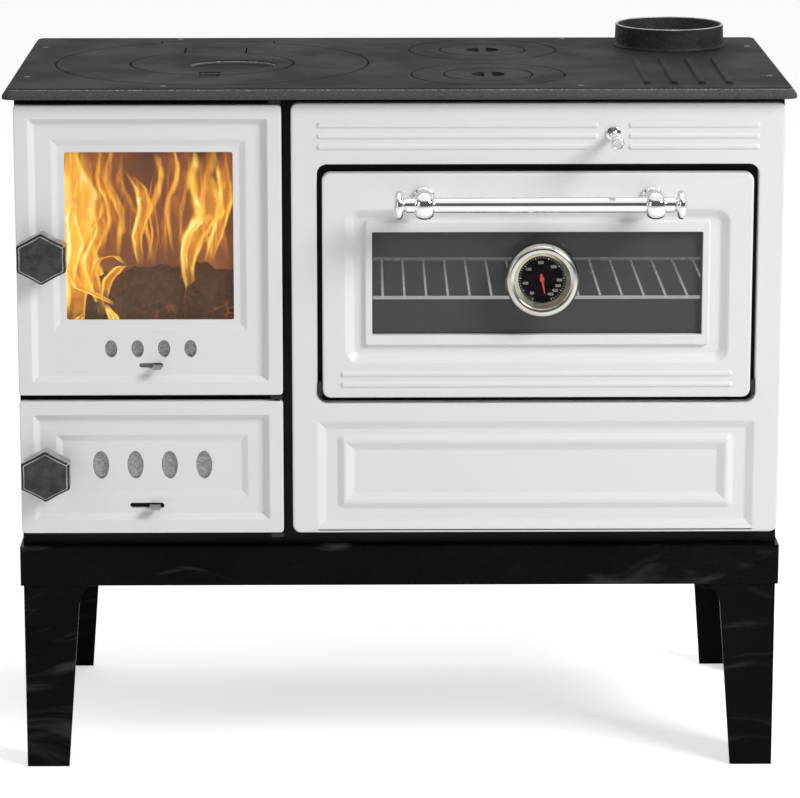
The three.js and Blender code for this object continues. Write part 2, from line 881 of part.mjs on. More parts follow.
function ashPan() {

	const x0 = ashMouth.x0 + panSideGap;
	const x1 = ashMouth.x1 - panSideGap;
	const bottom = floorTop + fit;
	return cut(
		block( x0, x1, panFront, panFront + panDepth, bottom, bottom + panHeight ),
		block(
			x0 + panWall, x1 - panWall, panFront + panWall, panFront + panDepth - panWall,
			bottom + panWall, bottom + panHeight + overlap,
		),
	);

}

piece( stove, 'ash_pan', ashPan(), 'steel' );

// ---- Oven --------------------------------------------------------------------------------------------------------

const ovenBack = ovenFront + ovenDepth;
const rackZ = ovenZ0 + rackUp;

function ovenBox() {

	const wall = ovenWall;
	const runnerTop = rackZ - rackRod - fit;
	const runner = ( x0, x1 ) => block( x0, x1, ovenFront, ovenBack, runnerTop - runnerThickness, runnerTop );
	const shell = join(
		block( ovenX0 - wall, ovenX1 + wall, ovenFront, ovenBack + wall, ovenZ0 - wall, ovenZ1 + wall ),
		block(
			ovenX0 - ovenFlange, ovenX1 + ovenFlange, ovenFront, ovenFront + wall,
			ovenZ0 - ovenFlange, ovenZ1 + ovenFlange,
		),
	);
	return join(
		cut( shell, block( ovenX0, ovenX1, ovenFront - overlap, ovenBack, ovenZ0, ovenZ1 ) ),
		runner( ovenX0 - overlap, ovenX0 + runnerWidth ),
		runner( ovenX1 - runnerWidth, ovenX1 + overlap ),
	);

}

// Rods from side to side at the front and back, and wires laid between them.
function ovenRack() {

	const x0 = ovenX0 + rackEnd;
	const x1 = ovenX1 - rackEnd;
	const pitch = ( x1 - x0 - 2 * rackWireInset ) / ( rackWires - 1 );
	const front = ovenFront + rackFront;
	const back = front + rackDepth;
	const wires = Array.from( { length: rackWires }, ( _, i ) => {

		const x = x0 + rackWireInset + i * pitch;
		return round( across, x, rackZ, wireRadius, front - wireRadius, back + wireRadius, 4 );

	} );
	return join(
		round( endwise, front, rackZ, rackRod, x0, x1, 6 ),
		round( endwise, back, rackZ, rackRod, x0, x1, 6 ),
		...wires,
	);

}

piece( stove, 'oven_box', ovenBox(), 'iron' );
piece( stove, 'oven_rack', ovenRack(), 'chrome' );

// ---- Oven front panel --------------------------------------------------------------------------------------------

const face = - faceDepth;
const apertureX0 = panelLeft + apertureSide;
const apertureX1 = bodyRight - apertureSide;

function ovenFrontPanel() {

	const bottom = panelTop - panelHeight;
	const back = - fit;
	const behind = face + skin;
	const aperture = ( grow ) => roundedRectangle(
		apertureX0 - grow, apertureX1 + grow, apertureZ0 - grow, apertureZ1 + grow, apertureCorner + grow,
	);
	const drawerZ1 = panelTop - drawerTop;
	const drawerZ0 = drawerZ1 - drawerHeight;
	const floor = face + drawerDepth;
	const ridge = [
		apertureX0 + ridgeInsetSide, apertureX1 - ridgeInsetSide, drawerZ0 + ridgeInsetBottom, drawerZ1 - ridgeInsetTop,
	];
	const shell = cut(
		extrude( across, roundedRectangle( panelLeft, bodyRight, bottom, panelTop, panelCorner ), face, back ),
		block( panelLeft + skin, bodyRight - skin, behind, overlap, bottom + skin, panelTop - skin ),
	);
	const backing = block(
		apertureX0 - skin, apertureX1 + skin, behind - overlap, floor + skin, drawerZ0 - skin, drawerZ1 + skin,
	);
	const beads = Array.from( { length: beadCount }, ( _, i ) => {

		const z = panelTop - beadFirst - i * beadPitch;
		return join(
			bead( apertureX0, damperX - beadBreak / 2, face, z ),
			bead( damperX + beadBreak / 2, apertureX1, face, z ),
		);

	} );
	const body = cut(
		join( shell, extrude( across, aperture( returnWall ), behind - overlap, back ), backing ),
		extrude( across, aperture( 0 ), face - overlap, overlap ),
		recess( apertureX0, apertureX1, drawerZ0, drawerZ1, face, floor, drawerSlope ),
		round( across, damperX, damperZ, damperRodRadius + run, face - overlap, overlap ),
	);
	return join( body, ringFrame( ...ridge, floor - ridgeHeight, floor + overlap, ridgeWidth ), ...beads );

}

piece( stove, 'oven_front_panel', ovenFrontPanel(), 'enamel' );

// ---- Damper ------------------------------------------------------------------------------------------------------

const escutcheonBack = face - fit;
const knobY = face - damperReach;
const bladeBack = casingBack - bladeBackGap - damperTravel;
const bladeFront = bladeBack - bladeDepth;

piece( stove, 'damper_escutcheon', cut(
	round( across, damperX, damperZ, escutcheonRadius, escutcheonBack - escutcheonThickness, escutcheonBack, 20 ),
	round( across, damperX, damperZ, damperRodRadius + run, face * 2, 0 ),
), 'chrome' );

function damperRod() {

	const end = bladeFront + 2 * bladeSocket - knobY;
	const ball = [ - 1, 0, 1 ].map( ( step ) => {

		const angle = step * Math.PI / 6;
		return [ damperBall * Math.cos( angle ), damperBall * Math.sin( angle ) ];

	} );
	return turned( 'y', [
		[ 0, - damperBall ], [ damperBallEnd, - damperBall ], ...ball, [ damperNeck, damperBall ],
		[ damperRodRadius, damperBall + damperFillet ], [ damperRodRadius, end ], [ 0, end ],
	], 16 );

}

piece( groupAt( damperX, knobY, damperZ ), 'damper_rod', damperRod(), 'chrome' );

function damperBlade() {

	const left = damperX - bladeSocket;
	const under = damperZ - bladeSocket;
	const bore = round(
		across, damperX, damperZ, damperRodRadius + run, bladeFront - overlap, bladeFront + 2 * bladeSocket,
	);
	return cut( join(
		block( left, left + bladeWidth, bladeFront, bladeBack, under, under + bladeThickness ),
		block( left, damperX + bladeSocket, bladeFront, bladeFront + 3 * bladeSocket, under, damperZ + bladeSocket ),
	), bore );

}

piece( stove, 'damper_blade', damperBlade(), 'iron' );

// ---- Cast doors --------------------------------------------------------------------------------------------------
// Each door is built in a group at its lower left corner, so X runs from 0 to the door's width and Z to its height.

const doors = [
	{
		name: 'fire', bottom: fireDoorBottom, height: fireDoorHeight, air: fireAir, mouth: fireMouth,
		spindleUp: fireSpindleUp, innerBottom,
	},
	{
		name: 'ash', bottom: ashDoorBottom, height: ashDoorHeight, air: ashAir, mouth: ashMouth,
		spindleUp: ashSpindleUp, innerBottom: innerInset,
	},
];
const fieldY = face + stepDepth;
const innerY = fieldY + innerStepDepth;
const backY = - doorBack;
const behindY = backY + fit;
const hingeX = fireDoorWidth - hingeInset;
const hingeY = ( face + backY ) / 2;
const middleX = fireDoorWidth / 2;
const fireWindow = {
	x0: windowInset, x1: fireDoorWidth - windowInset, z0: windowBottom, z1: fireDoorHeight - windowInset,
};

function airHoles( air, dx, from, to ) {

	return Array.from( { length: holeCount }, ( _, i ) => {

		const x = middleX + ( i - ( holeCount - 1 ) / 2 ) * air.pitch + dx;
		return extrude( across, ellipse( x, air.up, air.halfWidth, air.halfHeight, 16 ), from, to );

	} );

}

function castDoor( door ) {

	const { air, height } = door;
	const glazed = door.name === 'fire';
	const field = recess(
		bandWidth, fireDoorWidth - bandWidth, bandWidth, height - bandWidth, face, fieldY, stepSlope,
	);
	const inner = recess(
		innerInset, fireDoorWidth - innerInset, door.innerBottom, height - innerInset, fieldY, innerY, innerSlope,
	);
	const slotX = middleX + air.slotX;
	const slot = roundedRectangle(
		slotX - air.slotLength / 2, slotX + air.slotLength / 2, air.slotUp - air.slotHeight / 2,
		air.slotUp + air.slotHeight / 2, air.slotHeight / 2 - fit,
	);
	const groove = ringFrame( ...sealFrame( door, fit ), backY - sealDepth, overlap, sealWidth + 2 * fit );
	const window = fireWindow;
	const cast = join(
		extrude( across, roundedRectangle( 0, fireDoorWidth, 0, height, doorCorner ), face, backY - landThickness ),
		block(
			landInset, fireDoorWidth - landInset, backY - landThickness - overlap, backY, landInset, height - landInset,
		),
	);
	const boss = round( across, spindleInset, door.spindleUp, bossRadius, face, fieldY + overlap, 20 );
	return cut(
		join( cut( cast, field, inner ), boss ),
		groove,
		round( across, spindleInset, door.spindleUp, spindleRadius + run, face - overlap, overlap ),
		extrude( across, slot, face, overlap ),
		...airHoles( air, 0, face, overlap ),
		...( glazed ? [ block( window.x0, window.x1, face, overlap, window.z0, window.z1 ) ] : [] ),
		round( flat, hingeX, hingeY, pinRadius + run, - overlap, pinLength + overlap, 12 ),
		round( flat, hingeX, hingeY, pinRadius + run, height - pinLength - overlap, height + overlap, 12 ),
	);

}

// The seal runs round the frame's mouth, just outside it. Its frame in the door's own coordinates.
function sealFrame( door, grow ) {

	const out = sealLap + sealWidth + grow;
	return [
		door.mouth.x0 - bodyLeft - out, door.mouth.x1 - bodyLeft + out,
		Math.max( door.mouth.z0 - door.bottom - out, landInset + 1 - grow ), door.mouth.z1 - door.bottom + out,
	];

}

// Sliding plate behind the door's air holes. At rest it closes them; slid left by its travel, its own holes meet them.
function airShutter( air ) {

	const half = ( holeCount - 1 ) / 2 * air.pitch + air.halfWidth + shutterMargin;
	const tabX = middleX + air.tabX;
	const plate = block(
		middleX - half, middleX + half + air.travel, behindY, behindY + shutterThickness,
		air.bottom + guideWall + guideGap, air.top - guideWall - guideGap,
	);
	const tab = block(
		tabX - air.tabWidth / 2, tabX + air.tabWidth / 2, face - tabReach, behindY + shutterThickness / 2,
		air.slotUp - tabThickness / 2, air.slotUp + tabThickness / 2,
	);
	return join( cut( plate, ...airHoles( air, air.travel, - faceDepth, faceDepth ) ), tab );

}

// Channel that holds the shutter against the door's back, open at both ends and windowed for the air.
function shutterGuide( air ) {

	const half = ( holeCount - 1 ) / 2 * air.pitch + air.halfWidth + shutterMargin + air.travel + shutterMargin;
	const inner = behindY + shutterThickness + guideGap;
	const window = half - air.travel - shutterMargin;
	const margin = air.halfHeight + guideWall;
	return cut(
		block( middleX - half, middleX + half, behindY, inner + guideWall, air.bottom, air.top ),
		block(
			middleX - half - overlap, middleX + half + overlap, behindY - overlap, inner,
			air.bottom + guideWall, air.top - guideWall,
		),
		block( middleX - window, middleX + window, 0, inner + guideWall + overlap, air.up - margin, air.up + margin ),
	);

}

function latch( door ) {

	const tongueY = frameThickness + 2 * fit;
	const x = spindleInset;
	const z = door.spindleUp;
	return join(
		round( across, x, z, spindleRadius, face - knobNeck - knobSocket, tongueY + tongueThickness, 16 ),
		round( across, x, z, spacerRadius, behindY, tongueY, 16 ),
		block( x - tongueWidth / 2, x + tongueWidth / 2, tongueY, tongueY + tongueThickness, z, z + tongueLength ),
	);

}

// Six-sided knob, its corners up and down and its sides drawn in a little, on a round neck.
function knob( door ) {

	const corners = [
		[ knobHalfWidth, - knobSideHeight ], [ knobHalfWidth, knobSideHeight ], [ 0, knobHalfHeight ],
		[ - knobHalfWidth, knobSideHeight ], [ - knobHalfWidth, - knobSideHeight ], [ 0, - knobHalfHeight ],
	];
	const outline = ( inset ) => corners.flatMap( ( [ u, v ], i ) => {

		const next = corners[ ( i + 1 ) % corners.length ];
		const middle = [ ( u + next[ 0 ] ) / 2, ( v + next[ 1 ] ) / 2 ];
		const pull = 1 - knobHollow / Math.hypot( ...middle );
		const shrink = 1 - inset / knobHalfWidth;
		return [ [ u * shrink, v * shrink ], [ middle[ 0 ] * pull * shrink, middle[ 1 ] * pull * shrink ] ];

	} ).map( ( [ u, v ] ) => [ spindleInset + u, door.spindleUp + v ] );
	const back = face - knobNeck;
	const front = back - knobDepth;
	return cut(
		join(
			loft( across,
				{ at: front, points: outline( knobBevel ) },
				{ at: front + knobBevel, points: outline( 0 ) },
				{ at: back - knobBevel, points: outline( 0 ) },
				{ at: back, points: outline( knobBevel ) },
			),
			round( across, spindleInset, door.spindleUp, bossRadius - fit, back - overlap, face - fit, 20 ),
		),
		round(
			across, spindleInset, door.spindleUp, spindleRadius + run,
			face - knobNeck - knobSocket - fit, face + overlap,
		),
	);

}

function fireGlass() {

	const { x0, x1, z0, z1 } = fireWindow;
	return block( x0 - glassLap, x1 + glassLap, behindY, behindY + glassThickness, z0 - glassLap, z1 + glassLap );

}

// Frame that clamps the glass against the door's back.
function glassRetainer() {

	const { x0, x1, z0, z1 } = fireWindow;
	const out = glassLap + fit + retainerWall;
	const back = behindY + glassThickness + fit;
	return cut(
		ringFrame( x0 - out, x1 + out, z0 - out, z1 + out, behindY, back + retainerWall / 2, out - glassLap / 4 ),
		block(
			x0 - glassLap - fit, x1 + glassLap + fit, behindY - overlap, back, z0 - glassLap - fit, z1 + glassLap + fit,
		),
	);

}

for ( const door of doors ) {

	const group = groupAt( bodyLeft, 0, door.bottom );
	piece( group, `${ door.name }_door`, castDoor( door ), 'enamel' );
	piece( group, `${ door.name }_door_seal`, ringFrame(
		...sealFrame( door, 0 ), backY - sealDepth + fit, backY + sealProud, sealWidth,
	), 'rope' );
	piece( group, `${ door.name }_air_shutter`, airShutter( door.air ), 'steel' );
	piece( group, `${ door.name }_shutter_guide`, shutterGuide( door.air ), 'iron' );
	piece( group, `${ door.name }_knob`, knob( door ), 'knob' );
	piece( group, `${ door.name }_latch`, latch( door ), 'iron' );
	if ( door.name === 'fire' ) {

		piece( group, 'fire_glass', fireGlass(), 'glass' );
		piece( group, 'fire_glass_retainer', glassRetainer(), 'iron' );

	}

}

// Hinge ears on the front frame, each with its pins up or down into the doors.
function hingeEar( z0, pinUp, pinDown ) {

	const x = bodyLeft + hingeX;
	const half = earWidth / 2;
	const pins = [
		[ pinUp, z0 + earThickness - overlap, z0 + earThickness + pinLength ], [ pinDown, z0 - pinLength, z0 + overlap ],
	];
	return join(
		block( x - half, x + half, hingeY - earFront, - fit, z0, z0 + earThickness ),
		...pins.filter( ( [ used ] ) => used ).map( ( [ , from, to ] ) => (
			round( flat, x, hingeY, pinRadius, from, to, 12 )
		) ),
	);

}

piece( stove, 'hinge_ear_top', hingeEar( doorTop + earGap, false, true ), 'iron' );
piece( stove, 'hinge_ear_middle', hingeEar( fireDoorBottom - earGap - earThickness, true, true ), 'iron' );
piece( stove, 'hinge_ear_bottom', hingeEar( ashDoorBottom - earGap - earThickness, true, false ), 'iron' );

// ---- Oven door ---------------------------------------------------------------------------------------------------
// Built in a group at its lower left corner, with Y = 0 at its face.

const ovenWidth = ovenDoorRight - ovenDoorLeft;
const ovenHeight = ovenDoorTop - ovenDoorBottom;
const ovenFaceY = face - ovenProud;
const ovenDoorDepth = - doorBack - fit - ovenFaceY; // back of the door, behind its face
const ovenDoor = groupAt( ovenDoorLeft, ovenFaceY, ovenDoorBottom );
const ovenInnerY = ovenDoorDepth - innerThickness;
const lip = {
	x0: lipInsetSide, x1: ovenWidth - lipInsetSide, z0: lipInsetBottom, z1: ovenHeight - lipInsetTop,
};
const pane = {
	x0: lip.x0 + lipWidth, x1: lip.x1 - lipWidth, z0: lip.z0 + lipWidthTop, z1: lip.z1 - lipWidthTop,
};
const glassFront = ovenRecessDepth + ovenShell + fit;
const glassBack = glassFront + ovenGlassThickness;
const ovenGaugeX = ovenWidth / 2 + gaugeX;

function ovenDoorPanel() {

	const depth = ovenInnerY - fit;
	const wall = ovenShell;
	const recessX = [ ovenRecessSide, ovenWidth - ovenRecessSide ];
	const recessZ = [ ovenRecessBottom, ovenHeight - ovenRecessTop ];
	const outline = roundedRectangle( 0, ovenWidth, 0, ovenHeight, ovenDoorCorner );
	const backing = ovenRecessDepth + wall;
	const shell = join(
		cut(
			extrude( across, outline, 0, depth ),
			block( wall, ovenWidth - wall, wall, depth + overlap, wall, ovenHeight - wall ),
		),
		block( recessX[ 0 ], recessX[ 1 ], wall - overlap, backing, recessZ[ 0 ], recessZ[ 1 ] ),
	);
	const pressed = join(
		cut( shell, recess( ...recessX, ...recessZ, 0, ovenRecessDepth, ovenRecessSlope ) ),
		block( lip.x0, lip.x1, lipDrop, backing, lip.z0, lip.z1 ),
	);
	const beads = Array.from( { length: doorBeadCount }, ( _, i ) => (
		bead( doorBeadSide, ovenWidth - doorBeadSide, 0, doorBeadUp + i * beadPitch )
	) );
	const bolts = [ - 1, 1 ].map( ( side ) => round(
		across, ovenWidth / 2 + side * bracketSpan / 2, handleUp, handleBolt + run, - overlap, wall + overlap,
	) );
	return cut(
		join( pressed, ...beads ),
		block( pane.x0, pane.x1, 0, backing + overlap, pane.z0, pane.z1 ),
		round( endwise, ovenHingeIn, ovenHingeUp, pinRadius + run, - overlap, wall + overlap, 12 ),
		round( endwise, ovenHingeIn, ovenHingeUp, pinRadius + run, ovenWidth - wall - overlap, ovenWidth + overlap, 12 ),
		...bolts,
	);

}

// Back plate of the door, with the rim that clamps the glass.
function ovenDoorInner() {

	const out = ovenGlassLap;
	return cut(
		join(
			block(
				ovenShell, ovenWidth - ovenShell, ovenInnerY, ovenDoorDepth,
				ovenShell + ovenHingeUp, ovenHeight - ovenShell,
			),
			block(
				pane.x0 - out, pane.x1 + out, glassBack + fit, ovenInnerY + innerThickness / 2,
				pane.z0 - out, pane.z1 + out,
			),
		),
		block(
			pane.x0 + clampWall - out, pane.x1 - clampWall + out, 0, ovenDoorDepth + overlap,
			pane.z0 + clampWall - out, pane.z1 - clampWall + out,
		),
	);

}

function ovenGlass() {

	const out = ovenGlassLap;
	return cut(
		block( pane.x0 - out, pane.x1 + out, glassFront, glassBack, pane.z0 - out, pane.z1 + out ),
		round( across, ovenGaugeX, gaugeUp, stemRadius + run, 0, ovenDoorDepth ),
	);

}

piece( ovenDoor, 'oven_door_panel', ovenDoorPanel(), 'enamel' );
piece( ovenDoor, 'oven_door_inner', ovenDoorInner(), 'casing' );
piece( ovenDoor, 'oven_glass', ovenGlass(), 'glass' );
piece( ovenDoor, 'oven_door_seal', ringFrame(
	ovenSealInset, ovenWidth - ovenSealInset, ovenSealInset, ovenHeight - ovenSealInset,
	ovenDoorDepth + fit, ovenDoorDepth + fit + ovenSeal, sealWidth,
), 'rope' );

// ---- Handle ------------------------------------------------------------------------------------------------------

const handleX = ovenWidth / 2;

function handleBar() {

	const finial = ( middle, outward ) => [
		[ finialEnd, - finialHalf ], [ finialShoulder, - finialShoulderHalf ], [ finialRadius, 0 ],
		[ finialShoulder, finialShoulderHalf ], [ barRadius, finialHalf ],
	].map( ( [ r, t ] ) => [ r, middle - outward * t ] );
	const right = finial( finialSpan / 2, 1 ).reverse();
	const left = finial( - finialSpan / 2, - 1 );
	const profile = [ [ 0, left[ 0 ][ 1 ] ], ...left, ...right, [ 0, right.at( - 1 )[ 1 ] ] ];
	return turned( 'x', profile, 14 ).translate( handleX, - handleReach, handleUp );

}

// Bead round the bar, on a post that stands on the door and is bolted through its skin.
function handleBracket( x ) {

	const steps = [ - 1, - 0.75, - 0.3, 0.3, 0.75, 1 ];
	const neck = barRadius + beadLip;
	const bulge = ( t ) => neck + ( beadRadius - neck ) * Math.sqrt( 1 - t * t );
	const profile = steps.map( ( t ) => [ bulge( t ), t * beadHalf ] );
	const lump = turned( 'x', [ [ 0, - beadHalf ], ...profile, [ 0, beadHalf ] ], 14 );
	return cut(
		join(
			lump.translate( x, - handleReach, handleUp ),
			round( across, x, handleUp, postRadius, - handleReach, - fit, 12 ),
			round( across, x, handleUp, postFoot, - postFootThickness - fit, - fit, 14 ),
			round( across, x, handleUp, handleBolt, - fit - overlap, ovenShell + boltTail, 8 ),
		),
		round( endwise, - handleReach, handleUp, barRadius + run, x - 2 * beadHalf, x + 2 * beadHalf, 14 ),
	);

}

piece( ovenDoor, 'handle_bar', handleBar(), 'chrome' );
piece( ovenDoor, 'handle_bracket_left', handleBracket( handleX - bracketSpan / 2 ), 'chrome' );
piece( ovenDoor, 'handle_bracket_right', handleBracket( handleX + bracketSpan / 2 ), 'chrome' );

// ---- Oven door hinges --------------------------------------------------------------------------------------------

function ovenHinge( x, inward ) {

	const y = ovenFaceY + ovenHingeIn;
	const z = ovenDoorBottom + ovenHingeUp;
	const near = x - inward * ovenEarGap;
	const far = near - inward * ovenEar;
	return join(
		block( Math.min( near, far ), Math.max( near, far ), y - earFront, - fit, z - earBelow, z + earWidth ),
		round( endwise, y, z, pinRadius, ...[ near - inward, near + inward * pinLength ].sort( ( a, b ) => a - b ), 12 ),
	);

}

piece( stove, 'oven_hinge_left', ovenHinge( ovenDoorLeft, 1 ), 'iron' );
piece( stove, 'oven_hinge_right', ovenHinge( ovenDoorRight, - 1 ), 'iron' );

// ---- Thermometer -------------------------------------------------------------------------------------------------

const gaugeGroup = new THREE.Group();
gaugeGroup.position.set( ovenGaugeX, - gaugeFront, gaugeUp );
ovenDoor.add( gaugeGroup );
const gaugeBack = gaugeFront + glassFront - fit; // where the case meets the glass, behind the bezel's front
const lensBack = lensSeat + lensThickness + 2 * fit;
const dialFront = dialDrop - dialThickness - fit;

function gaugeCase() {

	const stemBack = gaugeBack + ovenGlassThickness + stemTail;
	return turned( 'y', [
		[ 0, stemBack ], [ stemRadius, stemBack ], [ stemRadius, gaugeBack ], [ gaugeNeck, gaugeBack ],
		[ gaugeNeck, dialDrop + gaugeNeckBack ], [ gaugeShoulder, dialDrop + gaugeShoulderBack ],
		[ gaugeRadius, dialDrop ], [ gaugeRadius, gaugeRimFront ], [ gaugeRadius - gaugeRound, gaugeChamfer ],
		[ gaugeRadius - gaugeRimWidth, 0 ], [ bezelRadius, lensSeat / 2 ], [ bezelRadius, lensSeat ],
		[ lensRadius + run, lensSeat ], [ lensRadius + run, lensBack ], [ bezelRadius, lensBack ],
		[ dialRadius + run, dialFront - fit ], [ dialRadius + run, dialDrop ], [ 0, dialDrop ],
	], 20 );

}

// Pointer with a short tail on a round hub, turned to its resting reading.
function needle() {

	const back = dialFront - fit;
	const pointer = [
		[ - needleWidth, - needleTail ], [ needleWidth, - needleTail ], [ needleWidth / 2, needleLength ],
		[ - needleWidth / 2, needleLength ],
	];
	return join(
		extrude( across, pointer, back - needleThickness - fit, back - fit ),
		round( across, 0, 0, hubRadius, back - needleThickness - 2 * fit, back, 12 ),
	).rotate( [ 0, needleAngle, 0 ] );

}

piece( gaugeGroup, 'thermometer_case', gaugeCase(), 'chrome' );
piece( gaugeGroup, 'thermometer_dial', round( across, 0, 0, dialRadius, dialFront, dialDrop - fit, 20 ), 'dial' );
piece( gaugeGroup, 'thermometer_needle', needle(), 'needle' );
piece( gaugeGroup, 'thermometer_lens', round( across, 0, 0, lensRadius, lensSeat + fit, lensBack - fit, 20 ), 'glass' );

// ---- Centre the stove over its origin ----------------------------------------------------------------------------

const bounds = new THREE.Box3().setFromObject( stove );
stove.position.y = - ( bounds.min.y + bounds.max.y ) / 2;
stove.updateMatrixWorld( true );

export default stove;
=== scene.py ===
"""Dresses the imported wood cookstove: its castings, enamelled fronts, fittings, fire and a plain stage.

Shapes are worked out in millimetres, X to the right, Y back from the front frame's face and Z up from the
floor, and `to_row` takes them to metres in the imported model's own frame.
"""

import math
from functools import partial

import bmesh
import bpy
import numpy as np
from bpy.props import FloatProperty, FloatVectorProperty, PointerProperty
from bpy.types import Operator, Panel, PropertyGroup
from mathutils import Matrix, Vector
from mathutils.geometry import delaunay_2d_cdt


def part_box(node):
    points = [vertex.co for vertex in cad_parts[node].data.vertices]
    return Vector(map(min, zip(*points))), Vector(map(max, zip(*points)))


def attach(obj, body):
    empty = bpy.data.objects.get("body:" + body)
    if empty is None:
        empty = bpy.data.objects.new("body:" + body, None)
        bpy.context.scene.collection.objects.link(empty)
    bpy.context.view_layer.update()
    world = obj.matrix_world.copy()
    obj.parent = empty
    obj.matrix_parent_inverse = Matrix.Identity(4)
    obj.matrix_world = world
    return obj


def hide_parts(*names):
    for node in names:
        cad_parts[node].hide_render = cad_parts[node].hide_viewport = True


bl_info = {
    "name": "Wood Cookstove",
    "version": (1, 0, 0),
    "blender": (4, 5, 0),
    "location": "3D View > Sidebar > Cookstove",
    "description": "Castings, enamelled fronts, fittings and fire of a wood cookstove",
    "category": "Object",
}

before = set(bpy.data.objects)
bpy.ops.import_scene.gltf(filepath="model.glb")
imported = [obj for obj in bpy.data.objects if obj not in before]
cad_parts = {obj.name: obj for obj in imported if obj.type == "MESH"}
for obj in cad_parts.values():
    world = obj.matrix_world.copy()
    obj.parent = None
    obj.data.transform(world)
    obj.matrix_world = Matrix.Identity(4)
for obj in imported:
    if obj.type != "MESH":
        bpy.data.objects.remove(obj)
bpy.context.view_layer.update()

MM = 0.001
FACE_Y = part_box("front_frame")[0].y  # the front frame's face in the row frame


def box_mm(node):
    """A CAD node's lowest and highest corner in this file's millimetres."""
    low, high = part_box(node)
    shift = Vector((0.0, FACE_Y, 0.0))
    return (low - shift) / MM, (high - shift) / MM


def middle_of(low, high, axes="xz"):
    """The middle between two corners, along each of the axes asked for."""
    return tuple((getattr(low, axis) + getattr(high, axis)) / 2 for axis in axes)


# ---- Places taken from the frame -----------------------------------------------------------------

PLATE_LOW, PLATE_HIGH = box_mm("cooktop_plate")
BURNERS = {name: box_mm(f"{name}_ring") for name in ("fire", "front", "rear")}
LIDS = {name: box_mm(f"{name}_lid") for name in ("fire", "front", "rear")}
DOORS = {name: box_mm(f"{name}_door") for name in ("fire", "ash")}
KNOBS = {name: box_mm(f"{name}_knob") for name in ("fire", "ash")}
PANEL_LOW, PANEL_HIGH = box_mm("oven_front_panel")
OVEN_LOW, OVEN_HIGH = box_mm("oven_door_panel")
GAUGE_LOW, GAUGE_HIGH = box_mm("thermometer_case")
COLLAR_LOW, COLLAR_HIGH = box_mm("flue_collar")
GRATE_LOW, GRATE_HIGH = box_mm("fire_grate")
RACK_LOW, RACK_HIGH = box_mm("oven_rack")
ROD_LOW, ROD_HIGH = box_mm("damper_rod")
BAR_LOW, BAR_HIGH = box_mm("handle_bar")

PLATE_TOP = 780.0
DECK_UNDER = 771.0
SEAT = 775.3  # the ledge a ring or a lid rests over
FLANGE_UNDER = 775.6
HANG = 769.0  # underside of a ring's or a lid's body
LEDGE = 7.0
RING_GAP = 1.5
DOOR_FACE = -16.0
DOOR_FIELD = -9.0
DOOR_INNER = -6.0
DOOR_BACK = -2.0
OVEN_FACE = -21.0


# ---- Surfaces ------------------------------------------------------------------------------------


def to_row(points):
    """Millimetres from the frame's face and the floor to metres in the row frame."""
    return np.asarray(points, float) * MM + (0.0, FACE_Y, 0.0)


def rounded_rectangle(x0, x1, z0, z1, radius, grow=0.0, steps=6):
    """Quarter circles of radius + grow at the corners of the rectangle grown by grow, and straight sides."""
    r = max(radius + grow, 0.01)
    turn = np.linspace(0.0, np.pi / 2, steps + 1)
    right, left, top, bottom = x1 + grow - r, x0 - grow + r, z1 + grow - r, z0 - grow + r
    arcs = []
    for x, z, half_turns in ((right, bottom, -0.5), (right, top, 0.0), (left, top, 0.5), (left, bottom, 1.0)):
        angle = half_turns * np.pi + turn
        arcs.append(np.stack((x + r * np.cos(angle), z + r * np.sin(angle)), 1))
    return np.concatenate(arcs)


def ellipse(x, z, half_width, half_height, grow=0.0, sides=40):
    """(x + a cos t, z + b sin t), with grow added to both half axes."""
    turn = np.arange(sides) * 2 * np.pi / sides
    across, up = (half_width + grow) * np.cos(turn), (half_height + grow) * np.sin(turn)
    return np.stack((x + across, z + up), 1)


def eased(corners, ease, steps=4):
    """A polyline whose inner corners c become parabolas (1-t)^2 a + 2t(1-t) c + t^2 b, where a and b lie
    `ease` from c, though never more than about half of the way to the next corner."""
    points = np.asarray(corners, float)
    before, corner, after = points[:-2], points[1:-1], points[2:]
    ease = np.broadcast_to(np.asarray(ease, float), (len(corner),))[:, None]

    def towards(other):
        step = other - corner
        length = np.linalg.norm(step, axis=1, keepdims=True)
        return corner + step / length * np.minimum(ease, length * 0.48)

    t = np.linspace(0.0, 1.0, steps + 1)[None, :, None]
    a, b = towards(before)[:, None], towards(after)[:, None]
    curve = (1 - t) ** 2 * a + 2 * t * (1 - t) * corner[:, None] + t**2 * b
    return np.concatenate((points[:1], curve.reshape(-1, 2), points[-1:]))


def closed_profile(corners, ease, steps=4):
    """An eased profile that ends where it starts: its first two corners are gone round again."""
    ring = eased([*corners, *corners[:2]], ease, steps)[1:-1]
    return np.concatenate((ring, ring[:1]))


def inside(points, loop):
    """True where a ray from a point crosses the loop an odd number of times."""
    x, y = points[:, :1], points[:, 1:]
    x0, y0 = loop[:, 0][None], loop[:, 1][None]
    x1, y1 = np.roll(x0, -1, 1), np.roll(y0, -1, 1)
    level = (y0 > y) != (y1 > y)
    rise = np.where(y1 == y0, 1.0, y1 - y0)
    return (level & (x < (x1 - x0) * (y - y0) / rise + x0)).sum(1) % 2 == 1


